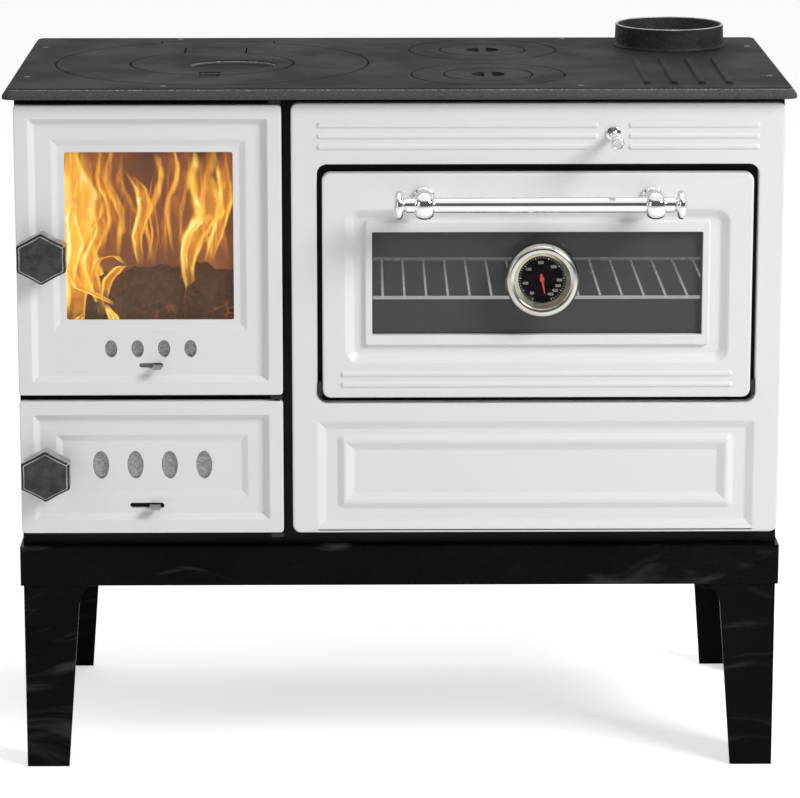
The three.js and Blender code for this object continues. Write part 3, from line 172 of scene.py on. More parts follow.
class Skin:
    """The faces of one piece, gathered as loops carried from level to level and as flats between loops.

    `lie` says where an outline's two coordinates and its level go: "front" puts them in X, Z and Y, "deck" in
    X, Y and Z, and `at` is added to every point.
    """

    def __init__(self, lie="front", at=(0.0, 0.0, 0.0)):
        self.lie = lie
        self.at = np.asarray(at, float)
        self.points, self.faces, self.count = [], [], 0

    def put(self, outline, level):
        """An outline's points at a level, as three coordinates."""
        across, up = outline[:, 0], outline[:, 1]
        depth = np.full(len(outline), float(level))
        order = (across, depth, up) if self.lie == "front" else (across, up, depth)
        return np.stack(order, 1) + self.at

    def add(self, points, faces):
        self.points.append(points)
        self.faces.extend((np.asarray(faces) + self.count).tolist())
        self.count += len(points)

    def grid(self, rows, closed=True):
        """Quads between the rows of an (m, n, 3) array, each row closed on itself unless said otherwise."""
        m, n = rows.shape[:2]
        last = n if closed else n - 1
        i, j = np.meshgrid(np.arange(m - 1), np.arange(last), indexing="ij")
        a, b = i * n + j, i * n + (j + 1) % n
        quads = np.stack((a, b, b + n, a + n), -1).reshape(-1, 4)
        self.add(rows.reshape(-1, 3), quads)
        return self

    def skirt(self, outline, profile):
        """The outline carried along a profile of (grow, level): row k is outline(grow_k) at level_k."""
        return self.grid(np.stack([self.put(outline(grow), level) for grow, level in profile]))

    def block(self, outline, profile):
        """The outline carried along a profile, closed by a flat at each end."""
        self.skirt(outline, profile)
        for grow, level in (profile[0], profile[-1]):
            self.flat(level, outline(grow))
        return self

    def flat(self, level, *loops):
        """The region between the first loop and the others, at one level, as a constrained triangulation."""
        coords = np.concatenate(loops)
        starts = np.cumsum([0] + [len(loop) for loop in loops])
        edges = []
        for start, loop in zip(starts, loops):
            index = np.arange(len(loop))
            edges += (np.stack((index, (index + 1) % len(loop)), 1) + start).tolist()
        verts, _, tris, *_ = delaunay_2d_cdt([Vector(p) for p in coords.tolist()], edges, [], 0, 1e-6)
        verts, tris = np.array([v[:] for v in verts]), np.array(tris)
        middle = verts[tris].mean(1)
        kept = sum(inside(middle, loop).astype(int) for loop in loops) % 2 == 1
        self.add(self.put(verts, level), tris[kept])
        return self

    def turned(self, profile, axis, centre, sides=64):
        """A profile of (radius, place along the axis) turned right round the axis through the centre."""
        profile = np.asarray(profile, float)
        turn = np.arange(sides) * 2 * np.pi / sides
        u = profile[:, :1] * np.cos(turn)
        v = profile[:, :1] * np.sin(turn)
        w = np.repeat(profile[:, 1:], sides, 1)
        order = {"x": (w, u, v), "y": (u, w, v), "z": (u, v, w)}[axis]
        return self.grid(np.stack(order, -1) + np.asarray(centre, float))


# ---- Pieces --------------------------------------------------------------------------------------

WELD = 0.004  # millimetres within which a skin's points are one
CAD_WELD = 0.01  # the same for a copy of a CAD node
SHARP_ANGLE = 38.0  # degrees past which an edge is shown sharp
FLAT_WEIGHT = 90  # how far the flats rule the normals beside them

FINISH_NAMES = {}  # each finish's material by the name its pieces use


def finish_of(name):
    return bpy.data.materials[FINISH_NAMES[name]]


def placed(name, data):
    """A new object of the data at the origin, linked into the scene."""
    obj = bpy.data.objects.new(name, data)
    bpy.context.scene.collection.objects.link(obj)
    return obj


def mesh_of(name, skin):
    """A skin's points and faces as a mesh in the row frame."""
    mesh = bpy.data.meshes.new(name)
    mesh.from_pydata(to_row(np.concatenate(skin.points)).tolist(), [], skin.faces)
    return mesh


def tidy_mesh(mesh, weld):
    """Merges the mesh's doubles within `weld` millimetres and turns its faces outwards."""
    shape = bmesh.new()
    shape.from_mesh(mesh)
    bmesh.ops.remove_doubles(shape, verts=shape.verts, dist=weld * MM)
    bmesh.ops.dissolve_degenerate(shape, dist=weld * MM / 10, edges=shape.edges)
    bmesh.ops.recalc_face_normals(shape, faces=shape.faces)
    shape.to_mesh(mesh)
    shape.free()


def applied(obj):
    """The object's mesh as its modifiers leave it, as a new mesh."""
    bpy.context.view_layer.update()
    return bpy.data.meshes.new_from_object(obj.evaluated_get(bpy.context.evaluated_depsgraph_get()))


def dressed(obj, look, body, nodes=(), sharp=SHARP_ANGLE):
    """Gives an object its finish, normals weighted by the flats beside them, its body and the CAD
    nodes that it stands in for."""
    mesh = obj.data
    mesh.materials.clear()
    mesh.materials.append(finish_of(look))
    mesh.polygons.foreach_set("use_smooth", np.ones(len(mesh.polygons), bool))
    mesh.set_sharp_from_angle(angle=math.radians(sharp))
    weighted = obj.modifiers.new("Weighted normals", "WEIGHTED_NORMAL")
    weighted.keep_sharp = True
    weighted.weight = FLAT_WEIGHT
    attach(obj, body)
    if nodes:
        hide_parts(*nodes)
    return obj


def piece(name, skin, look, body, nodes=(), sharp=SHARP_ANGLE):
    """A Skin as an object: doubles merged and faces turned outwards, then dressed."""
    obj = placed(name, mesh_of(name, skin))
    tidy_mesh(obj.data, WELD)
    return dressed(obj, look, body, nodes, sharp)


def softened(name, node_name, width, look, body):
    """A copy of a CAD node with its corners merged and its edges rounded by a bevel of the given width."""
    obj = placed(name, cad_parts[node_name].data.copy())
    tidy_mesh(obj.data, CAD_WELD)
    bevel = obj.modifiers.new("Rounded edges", "BEVEL")
    bevel.width = width * MM
    bevel.segments = 3
    bevel.limit_method = "ANGLE"
    bevel.angle_limit = math.radians(30)
    bevel.use_clamp_overlap = True
    return dressed(obj, look, body, (node_name,))


def carved(obj, low, high):
    """The object with a box cut out of it, its mesh replaced by the result."""
    outline = rounded_rectangle(low[0], high[0], low[2], high[2], 0.6, steps=3)
    skin = Skin().skirt(lambda grow: outline, [(0, low[1]), (0, high[1])])
    cutter = placed("cutter", mesh_of("cutter", skin.flat(low[1], outline).flat(high[1], outline)))
    tidy_mesh(cutter.data, 0.001)
    weighted = obj.modifiers[0]
    weighted.show_viewport = False
    boolean = obj.modifiers.new("Cut", "BOOLEAN")
    boolean.operation, boolean.solver, boolean.object = "DIFFERENCE", "EXACT", cutter
    result = applied(obj)
    obj.modifiers.remove(boolean)
    weighted.show_viewport = True
    obj.data = result
    result.set_sharp_from_angle(angle=math.radians(SHARP_ANGLE))
    bpy.data.objects.remove(cutter)


# ---- Shader nodes --------------------------------------------------------------------------------

VECTOR, FLOAT, COLOR = "NodeSocketVector", "NodeSocketFloat", "NodeSocketColor"
BLACK = (0, 0, 0, 1)
WHITE = (1, 1, 1, 1)


def node(tree, kind, settings=None, **sockets):
    """A new node with its attributes and sockets set; a socket given another node's output is linked to it,
    and a socket is named with _ for a space, or by its number as i0, i1 and so on."""
    made = tree.nodes.new(kind)
    for key, value in (settings or {}).items():
        setattr(made, key, value)
    for key, value in sockets.items():
        numbered = key[0] == "i" and key[1:].isdigit()
        socket = made.inputs[int(key[1:]) if numbered else key.replace("_", " ")]
        if isinstance(value, bpy.types.NodeSocket):
            tree.links.new(value, socket)
        else:
            socket.default_value = value
    return made


def math_node(tree, operation, a, b=0.0, clamp=False):
    return node(tree, "ShaderNodeMath", {"operation": operation, "use_clamp": clamp}, i0=a, i1=b).outputs[0]


def times(tree, a, b, clamp=False):
    return math_node(tree, "MULTIPLY", a, b, clamp)


def plus(tree, a, b, clamp=False):
    return math_node(tree, "ADD", a, b, clamp)


def span(tree, value, low, high, to_low=0.0, to_high=1.0):
    """The value's way from low to high, as a smooth step from to_low to to_high."""
    return node(tree, "ShaderNodeMapRange", {"interpolation_type": "SMOOTHSTEP"}, Value=value, From_Min=low,
                From_Max=high, To_Min=to_low, To_Max=to_high).outputs[0]


def noise(tree, place, scale, **more):
    """Soft noise at a place; `more` sets its other sockets."""
    return node(tree, "ShaderNodeTexNoise", Vector=place, Scale=scale, **more).outputs[0]


def part_of(tree, vector, axis):
    """One coordinate of a vector, by its letter."""
    return node(tree, "ShaderNodeSeparateXYZ", Vector=vector).outputs[axis]


def stretched(tree, place, scale):
    """The place with each axis scaled, which draws a pattern out along the axes scaled least."""
    return node(tree, "ShaderNodeMapping", Vector=place, Scale=scale).outputs[0]


def vector_node(tree, operation, a, **more):
    return node(tree, "ShaderNodeVectorMath", {"operation": operation}, i0=a, **more).outputs


def mixed(tree, factor, first, second):
    """The colour between first and second by the factor."""
    return node(tree, "ShaderNodeMix", {"data_type": "RGBA"}, Factor=factor, i6=first, i7=second).outputs[2]


def raise_relief(tree, shader, height, depth):
    """Bumps the shader's normal by a height that stands `depth` millimetres between 0 and 1."""
    bump = node(tree, "ShaderNodeBump", Strength=1.0, Distance=depth * MM, Height=height)
    tree.links.new(bump.outputs[0], shader.inputs["Normal"])


def effect(name, inputs, outputs, build):
    """A shader node group made once, with named sockets; build(tree, entry, result) fills it."""
    tree = bpy.data.node_groups.get(name)
    if tree:
        return tree
    tree = bpy.data.node_groups.new(name, "ShaderNodeTree")
    for label, kind, value in (("Vector", VECTOR, None), *inputs):
        socket = tree.interface.new_socket(label, in_out="INPUT", socket_type=kind)
        if value is not None:
            socket.default_value = value
    for label, kind in outputs:
        tree.interface.new_socket(label, in_out="OUTPUT", socket_type=kind)
    entry, result = tree.nodes.new("NodeGroupInput"), tree.nodes.new("NodeGroupOutput")
    build(tree, entry.outputs, result.inputs)
    return tree


def group(tree, made, place, **sockets):
    """A node group's node, with its Vector read from the place."""
    return node(tree, "ShaderNodeGroup", {"node_tree": made}, Vector=place, **sockets)


# ---- Effects shared by the finishes --------------------------------------------------------------


def build_mottle(tree, entry, result):
    """Two thirds of a slow noise and one of a fine one, as a mask and as a colour between two."""
    cloud = noise(tree, entry["Vector"], entry["Scale"], Detail=5.0, Roughness=0.62)
    fleck = noise(tree, entry["Vector"], entry["Fleck scale"], Detail=2.0)
    mask = span(tree, plus(tree, times(tree, cloud, 0.65), times(tree, fleck, 0.35)), 0.36, 0.64)
    tree.links.new(mixed(tree, mask, entry["Dark"], entry["Light"]), result["Color"])
    tree.links.new(mask, result["Mask"])


def build_wear(tree, entry, result):
    """A roughness that drifts between two values, as on a surface wiped by hand."""
    smear = noise(tree, entry["Vector"], entry["Scale"], Detail=4.0, Distortion=0.6)
    tree.links.new(span(tree, smear, 0.3, 0.7, entry["Low"], entry["High"]), result["Roughness"])


def build_grain(tree, entry, result):
    """The height of a cast or sprayed skin: fine noise, with rounded pits by weight."""
    fine = noise(tree, entry["Vector"], entry["Scale"], Detail=3.0, Roughness=0.6)
    pits = node(tree, "ShaderNodeTexVoronoi", {"feature": "SMOOTH_F1"}, Vector=entry["Vector"],
                Scale=entry["Pit scale"])
    tree.links.new(plus(tree, fine, times(tree, pits.outputs[0], entry["Pits"])), result["Height"])


def build_rub_and_highlight(tree, entry, result):
    """The base colour above a level and on flats, and a paler, speckled tone on the walls below it: the
    ground iron of the plate's rim, with painted highlight on the lid's dish walls and painted glints along
    the top edge.
    """
    above = math_node(tree, "SUBTRACT", part_of(tree, entry["Vector"], "Z"), entry["Level"])
    below = span(tree, above, 0.4 * MM, -0.4 * MM)
    edge = times(tree, span(tree, above, -2.0 * MM, 0.0), below)
    speck = noise(tree, entry["Vector"], entry["Speck scale"], Detail=3.0)
    strength = plus(tree, span(tree, speck, 0.3, 0.75, 0.35, 0.9), times(tree, edge, 0.35))
    upright = part_of(tree, tree.nodes.new("ShaderNodeNewGeometry").outputs["Normal"], "Z")
    # the walls' pale tone is partly the rim's ground iron and partly painted highlight, as on the fire lid's
    # dish
    side = times(tree, span(tree, math_node(tree, "ABSOLUTE", upright), 0.95, 0.7), below)
    # painted highlight: speckled glints along the top edge, up to 3.6 times as bright
    glint = times(tree, edge, span(tree, speck, 0.5, 0.62))
    bright = node(tree, "ShaderNodeMath", {"operation": "MULTIPLY_ADD"}, i0=glint, i1=2.6, i2=1.0).outputs[0]
    worn = vector_node(tree, "SCALE", entry["Rubbed"], Scale=bright)[0]
    tree.links.new(mixed(tree, times(tree, strength, side, True), entry["Base"], worn), result["Color"])


def build_painted_reflection_wisps(tree, entry, result):
    """Thin level streaks, bent by a slower noise: a painted reflection on a gloss enamel."""
    bend = node(tree, "ShaderNodeTexNoise", Vector=entry["Vector"], Scale=4.0, Detail=2.0).outputs["Color"]
    push = vector_node(tree, "SCALE", bend, Scale=0.16)[0]
    drawn = stretched(tree, vector_node(tree, "ADD", entry["Vector"], i1=push)[0], (1.0, 1.0, 6.5))
    streak = noise(tree, drawn, entry["Scale"], Detail=4.0, Roughness=0.6)
    tree.links.new(span(tree, streak, 0.54, 0.72), result["Mask"])


def build_spangle(tree, entry, result):
    """Zinc's crystals: a tone for each cell of a Voronoi pattern, frosted by fine noise."""
    cells = node(tree, "ShaderNodeTexVoronoi", {"feature": "F1"}, Vector=entry["Vector"],
                 Scale=entry["Scale"])
    tone = node(tree, "ShaderNodeSeparateColor", Color=cells.outputs["Color"]).outputs[0]
    frost = noise(tree, entry["Vector"], entry["Frost scale"], Detail=3.0)
    mask = plus(tree, times(tree, tone, 0.5), times(tree, frost, 0.5), True)
    tree.links.new(mixed(tree, mask, entry["Dark"], entry["Light"]), result["Color"])
    tree.links.new(mask, result["Mask"])


def build_tongues(tree, entry, result):
    """Tongues of flame: bands of noise drawn out upwards and bent sideways by a slower noise."""
    bend = node(tree, "ShaderNodeTexNoise", Vector=entry["Vector"], Scale=entry["Bend scale"], Detail=2.0)
    offset = vector_node(tree, "SUBTRACT", bend.outputs["Color"], i1=(0.5, 0.5, 0.5))[0]
    push = vector_node(tree, "MULTIPLY", offset, i1=(0.11, 0.0, 0.16))[0]
    drawn = stretched(tree, vector_node(tree, "ADD", entry["Vector"], i1=push)[0], (1.0, 1.0, 0.22))
    broad = noise(tree, drawn, entry["Scale"], Detail=2.5, Roughness=0.45)
    strands = node(tree, "ShaderNodeTexNoise", {"noise_type": "RIDGED_MULTIFRACTAL"}, Vector=drawn,
                   Scale=entry["Strand scale"], Detail=2.0, Roughness=0.5).outputs[0]
    tree.links.new(span(tree, broad, 0.33, 0.62), result["Body"])
    tree.links.new(span(tree, strands, 0.3, 1.2), result["Strands"])


def mottle():
    inputs = (("Scale", FLOAT, 8.0), ("Fleck scale", FLOAT, 400.0), ("Dark", COLOR, BLACK),
              ("Light", COLOR, WHITE))
    return effect("Mottle", inputs, (("Color", COLOR), ("Mask", FLOAT)), build_mottle)


def wear():
    inputs = (("Scale", FLOAT, 6.0), ("Low", FLOAT, 0.2), ("High", FLOAT, 0.3))
    return effect("Handling wear", inputs, (("Roughness", FLOAT),), build_wear)


def grain():
    inputs = (("Scale", FLOAT, 900.0), ("Pit scale", FLOAT, 400.0), ("Pits", FLOAT, 0.5))
    return effect("Cast grain", inputs, (("Height", FLOAT),), build_grain)


def spangle():
    inputs = (("Scale", FLOAT, 500.0), ("Frost scale", FLOAT, 1500.0), ("Dark", COLOR, BLACK),
              ("Light", COLOR, WHITE))
    return effect("Zinc spangle", inputs, (("Color", COLOR), ("Mask", FLOAT)), build_spangle)


def rub_and_highlight():
    # Rubbed: the pale tone of the ground rim, which also carries the painted highlights
    inputs = (("Level", FLOAT, 0.779), ("Speck scale", FLOAT, 900.0), ("Base", COLOR, BLACK),
              ("Rubbed", COLOR, (0.2, 0.2, 0.2, 1)))
    return effect("Rubbed edge and painted highlight", inputs, (("Color", COLOR),), build_rub_and_highlight)


def painted_reflection_wisps():
    return effect("Painted reflection wisps", (("Scale", FLOAT, 5.0),), (("Mask", FLOAT),), build_painted_reflection_wisps)


def tongues():
    inputs = (("Scale", FLOAT, 16.0), ("Strand scale", FLOAT, 20.0), ("Bend scale", FLOAT, 7.0))
    return effect("Flame tongues", inputs, (("Body", FLOAT), ("Strands", FLOAT)), build_tongues)


# ---- Finishes ------------------------------------------------------------------------------------


def opened(material):
    """A material's tree, its shader, and the Object coordinates that its patterns read."""
    tree = material.node_tree
    return tree, tree.nodes["Principled BSDF"], tree.nodes["Texture Coordinate"].outputs["Object"]


def bare(name):
    """A new material, with its tree, its shader and its Object coordinates."""
    material = bpy.data.materials.new(name)
    material.use_nodes = True
    material.node_tree.nodes.new("ShaderNodeTexCoord")
    return material, *opened(material)


def set_shader(shader, **values):
    for key, value in values.items():
        shader.inputs[key.replace("_", " ")].default_value = value


def shade(colour, factor):
    """A colour with each channel times the factor, up to 1."""
    return tuple(min(1.0, channel * factor) for channel in colour)


def tones(colour, spread):
    """A darker and a paler shade of a colour."""
    return shade(colour, 1 - spread), shade(colour, 1 + spread)


def coloured(tree, shader, place, cloud, fleck, dark, light):
    """Mottles the base colour between dark and light."""
    made = group(tree, mottle(), place, Scale=cloud, Fleck_scale=fleck, Dark=(*dark, 1), Light=(*light, 1))
    tree.links.new(made.outputs["Color"], shader.inputs["Base Color"])


def worn(tree, shader, place, scale, low, high):
    """Lets the roughness drift between low and high."""
    made = group(tree, wear(), place, Scale=scale, Low=low, High=high)
    tree.links.new(made.outputs["Roughness"], shader.inputs["Roughness"])


def finish(name, dark, light, rough, metal=0.0, cloud=8.0, fleck=400.0, grain_scale=0.0, depth=0.0, pits=0.5,
           **more):
    """Mottled colour between dark and light, roughness drifting over the range, and a fine relief of `depth`
    millimetres; `more` sets the shader's other sockets."""
    material, tree, shader, place = bare(name)
    coloured(tree, shader, place, cloud, fleck, dark, light)
    worn(tree, shader, place, cloud * 1.7, *rough)
    set_shader(shader, Metallic=metal, **more)
    if depth:
        made = group(tree, grain(), place, Scale=grain_scale, Pit_scale=grain_scale * 0.4, Pits=pits)
        raise_relief(tree, shader, made.outputs["Height"], depth)
    return material


def cast_iron(name, colour):
    """Matt cast iron with a fine, pitted skin."""
    return finish(name, *tones(colour, 0.16), (0.55, 0.7), cloud=7.0, fleck=650.0, grain_scale=950.0,
                  depth=0.3, pits=0.7, Specular_IOR_Level=0.05)


def rubbed_and_highlit(material, level, tone):
    """Puts a paler tone under a level of the finish: the ground iron of the rim, with painted highlights on
    walls and edges.
    """
    tree, shader, place = opened(material)
    colour = shader.inputs["Base Color"].links[0].from_socket
    made = group(tree, rub_and_highlight(), place, Level=level * MM, Base=colour, Rubbed=(*tone, 1))
    tree.links.new(made.outputs["Color"], shader.inputs["Base Color"])
    return material


def with_painted_reflections(material, tone):
    """Lays faint streaks of painted reflection over a dark gloss finish."""
    tree, shader, place = opened(material)
    mask = group(tree, painted_reflection_wisps(), place, Scale=5.0).outputs["Mask"]
    colour = shader.inputs["Base Color"].links[0].from_socket
    tree.links.new(mixed(tree, mask, colour, (*tone, 1)), shader.inputs["Base Color"])
    return material


def galvanised_finish(name, colour, painted_shade_below=None):
    """Spangled zinc; below a height and behind the doors' faces it can be painted black as shade."""
    material, tree, shader, place = bare(name)
    dark, light = tones(colour, 0.42)
    zinc = group(tree, spangle(), place, Scale=520.0, Frost_scale=900.0, Dark=(*dark, 1), Light=(*light, 1))
    shown = zinc.outputs["Color"]
    if painted_shade_below is not None:
        # painted shade: black low down behind the door's inner face, where the slot looks into the dark
        behind = float(to_row([0, DOOR_INNER, 0])[1])
        low = span(tree, part_of(tree, place, "Z"), (painted_shade_below + 3) * MM, painted_shade_below * MM)
        painted_shade = times(tree, low, span(tree, part_of(tree, place, "Y"), behind - MM, behind))
        shown = mixed(tree, painted_shade, shown, (0.004, 0.004, 0.004, 1))
    tree.links.new(shown, shader.inputs["Base Color"])
    mask = zinc.outputs["Mask"]
    tree.links.new(span(tree, mask, 0.2, 0.8, 0.5, 0.32), shader.inputs["Roughness"])
    raise_relief(tree, shader, mask, 0.25)
    set_shader(shader, Metallic=0.55)
    return material


def wire_finish_with_painted_glow(name):
    """Bright zinc-plated wire with painted light: an emission glow, strong at the oven's front and fading
    towards the back.
    """
    material = finish(name, (0.72, 0.73, 0.74), (0.92, 0.92, 0.92), (0.16, 0.3), 0.6, cloud=40.0, fleck=300.0,
                      grain_scale=500.0, depth=0.03)
    tree, shader, place = opened(material)
    front = float(to_row([0, RACK_LOW.y, 0])[1])
    # painted light: the wire glows by emission, most at the front and fading towards the back
    lit = span(tree, part_of(tree, place, "Y"), front, front + 0.26, 0.7, 0.12)
    painted_glow = node(tree, "ShaderNodeCombineColor", Red=lit, Green=lit, Blue=lit)
    tree.links.new(painted_glow.outputs[0], shader.inputs["Emission Color"])
    set_shader(shader, Emission_Strength=1.4)
    return material


def cone_finish_with_painted_light(name):
    """The cream cone in the thermometer's bezel: a painted glow up and to the left, painted shade dark at
    right.
    """
    material = finish(name, (0.4, 0.37, 0.3), (0.58, 0.54, 0.45), (0.16, 0.24), 0.7, cloud=50.0, fleck=500.0,
                      grain_scale=500.0, depth=0.02)
    tree, shader, place = opened(material)
    gauge_x, gauge_z = middle_of(GAUGE_LOW, GAUGE_HIGH)
    middle = to_row([gauge_x, 0, gauge_z])
    # painted light: emission by the point's side of the middle, bright up and to the left, none low on the
    # right
    spot = vector_node(tree, "SUBTRACT", place, i1=tuple(middle))[0]
    lean = vector_node(tree, "DOT_PRODUCT", spot, i1=(-0.75, 0.0, 0.66))["Value"]
    painted_glow = mixed(tree, span(tree, lean, -0.006, 0.02), BLACK, (0.42, 0.39, 0.31, 1))
    tree.links.new(painted_glow, shader.inputs["Emission Color"])
    set_shader(shader, Emission_Strength=1.0)
    return material


def rope_finish(name, colour):
    """Twisted strands: two crossing bands along the diagonals of the rope."""
    material, tree, shader, place = bare(name)
    coloured(tree, shader, place, 60.0, 900.0, *tones(colour, 0.35))
    turned = node(tree, "ShaderNodeMapping", Vector=place, Rotation=(0.0, 1.5708, 0.0)).outputs[0]
    one, two = (node(tree, "ShaderNodeTexWave", {"bands_direction": "DIAGONAL"}, Vector=way, Scale=90.0,
                     Distortion=1.5).outputs[1] for way in (place, turned))
    weave = math_node(tree, "MAXIMUM", one, two)
    raise_relief(tree, shader, weave, 0.6)
    tree.links.new(span(tree, weave, 0.0, 1.0, 0.95, 0.8), shader.inputs["Roughness"])
    return material


def pane_finish(name, colour, alpha, rough):
    """A tinted pane: its own colour at its alpha, what is behind it through the rest, and a glossy face."""
    material, tree, shader, place = bare(name)
    coloured(tree, shader, place, 5.0, 60.0, *tones(colour, 0.06))
    worn(tree, shader, place, 9.0, rough, rough + 0.05)
    set_shader(shader, Alpha=alpha, IOR=1.5)
    return material


def clear_finish(name, rough):
    """A clear lens that hardly bends what is behind it."""
    material, tree, shader, place = bare(name)
    worn(tree, shader, place, 40.0, rough, rough + 0.03)
    set_shader(shader, Base_Color=WHITE, Transmission_Weight=1.0, IOR=1.05)
    return material


def char_finish(name):
    """Charred bark: black plates over brown, with embers glowing in the deepest cracks low in the bed."""
    material, tree, shader, place = bare(name)
    coloured(tree, shader, place, 34.0, 240.0, (0.008, 0.005, 0.004), (0.13, 0.078, 0.052))
    plates = node(tree, "ShaderNodeTexVoronoi", {"feature": "DISTANCE_TO_EDGE"},
                  Vector=stretched(tree, place, (0.45, 1.0, 1.0)), Scale=85.0).outputs[0]
    crack = span(tree, plates, 0.0, 0.07, 1.0, 0.0)
    low = span(tree, part_of(tree, place, "Z"), 0.545, 0.5)
    patch = span(tree, noise(tree, place, 19.0, Detail=3.0), 0.5, 0.66)
    ember = mixed(tree, times(tree, times(tree, crack, low), patch), BLACK, (1.0, 0.17, 0.02, 1))
    tree.links.new(ember, shader.inputs["Emission Color"])
    set_shader(shader, Roughness=0.9, Emission_Strength=1.1)
    raise_relief(tree, shader, plates, 2.2)
    return material


FIRE_STOPS = (  # the colours of fire by its heat
    (0.0, (0.03, 0.012, 0.007)), (0.18, (0.16, 0.05, 0.018)), (0.36, (0.42, 0.12, 0.02)),
    (0.58, (0.88, 0.33, 0.025)), (0.8, (1.0, 0.62, 0.07)), (1.0, (1.0, 0.9, 0.42)),
)


def fire_colour(tree, heat):
    """Brown, orange, yellow and white by heat."""
    ramp = node(tree, "ShaderNodeValToRGB", Fac=heat)
    elements = ramp.color_ramp.elements
    while len(elements) < len(FIRE_STOPS):
        elements.new(0.5)
    for element, (position, colour) in zip(elements, FIRE_STOPS):
        element.position, element.color = position, (*colour, 1)
    return ramp.outputs[0]


def glowing(tree, shader, heat, strength):
    """A shader that only gives light, in the colour of its heat."""
    tree.links.new(fire_colour(tree, heat), shader.inputs["Emission Color"])
    set_shader(shader, Base_Color=BLACK, Roughness=1.0, Emission_Strength=strength, Specular_IOR_Level=0.0)


def flame_finish(name):
    """A curtain of fire seen out of focus: brown and orange, with paler streaks drawn upwards."""
    material, tree, shader, place = bare(name)
    made = group(tree, tongues(), place, Scale=13.0, Strand_scale=22.0, Bend_scale=9.0)
    streaks = plus(tree, times(tree, made.outputs["Body"], 0.26), times(tree, made.outputs["Strands"], 0.34))
    fading = span(tree, part_of(tree, place, "Z"), 0.59, 0.68, 0.16, 0.03)
    glowing(tree, shader, plus(tree, streaks, fading), 1.1)
    return material


def tongue_finish(name, heat, cover):
    """A lick of flame read from its own UV: a glowing body with strands drawn along it, a bright fold on one
    side, and a rim and tip torn to nothing by noise."""
    material, tree, shader, place = bare(name)
    uv = tree.nodes["Texture Coordinate"].outputs["UV"]
    ragged = noise(tree, stretched(tree, place, (1.0, 1.0, 0.42)), 62.0, Detail=3.0, Distortion=0.9)
    torn = math_node(tree, "SUBTRACT", ragged, 0.5)
    across = plus(tree, part_of(tree, uv, "X"), times(tree, torn, 0.34))
    fold = times(tree, span(tree, across, 0.06, 0.2), span(tree, across, 0.42, 0.24))
    other = times(tree, span(tree, across, 0.66, 0.82), span(tree, across, 0.96, 0.86))
    strand = noise(tree, stretched(tree, place, (1.0, 1.0, 0.16)), 120.0, Detail=2.0, Distortion=1.4)
    folds = plus(tree, times(tree, fold, 0.3), times(tree, other, 0.16))
    inner = plus(tree, folds, times(tree, span(tree, strand, 0.46, 0.66), 0.13))
    up = part_of(tree, uv, "Y")
    foot = span(tree, up, 0.0, 0.3)
    tip = span(tree, plus(tree, up, times(tree, torn, 0.5)), 1.0, 0.62)
    glowing(tree, shader, plus(tree, plus(tree, inner, times(tree, tip, 0.12)), heat), 1.35)
    off = math_node(tree, "ABSOLUTE", math_node(tree, "SUBTRACT", across, 0.5))
    solid = plus(tree, times(tree, inner, 1.5), cover, True)
    body = times(tree, span(tree, off, 0.5, 0.3), solid)
    tree.links.new(times(tree, body, times(tree, foot, tip)), shader.inputs["Alpha"])
    return material


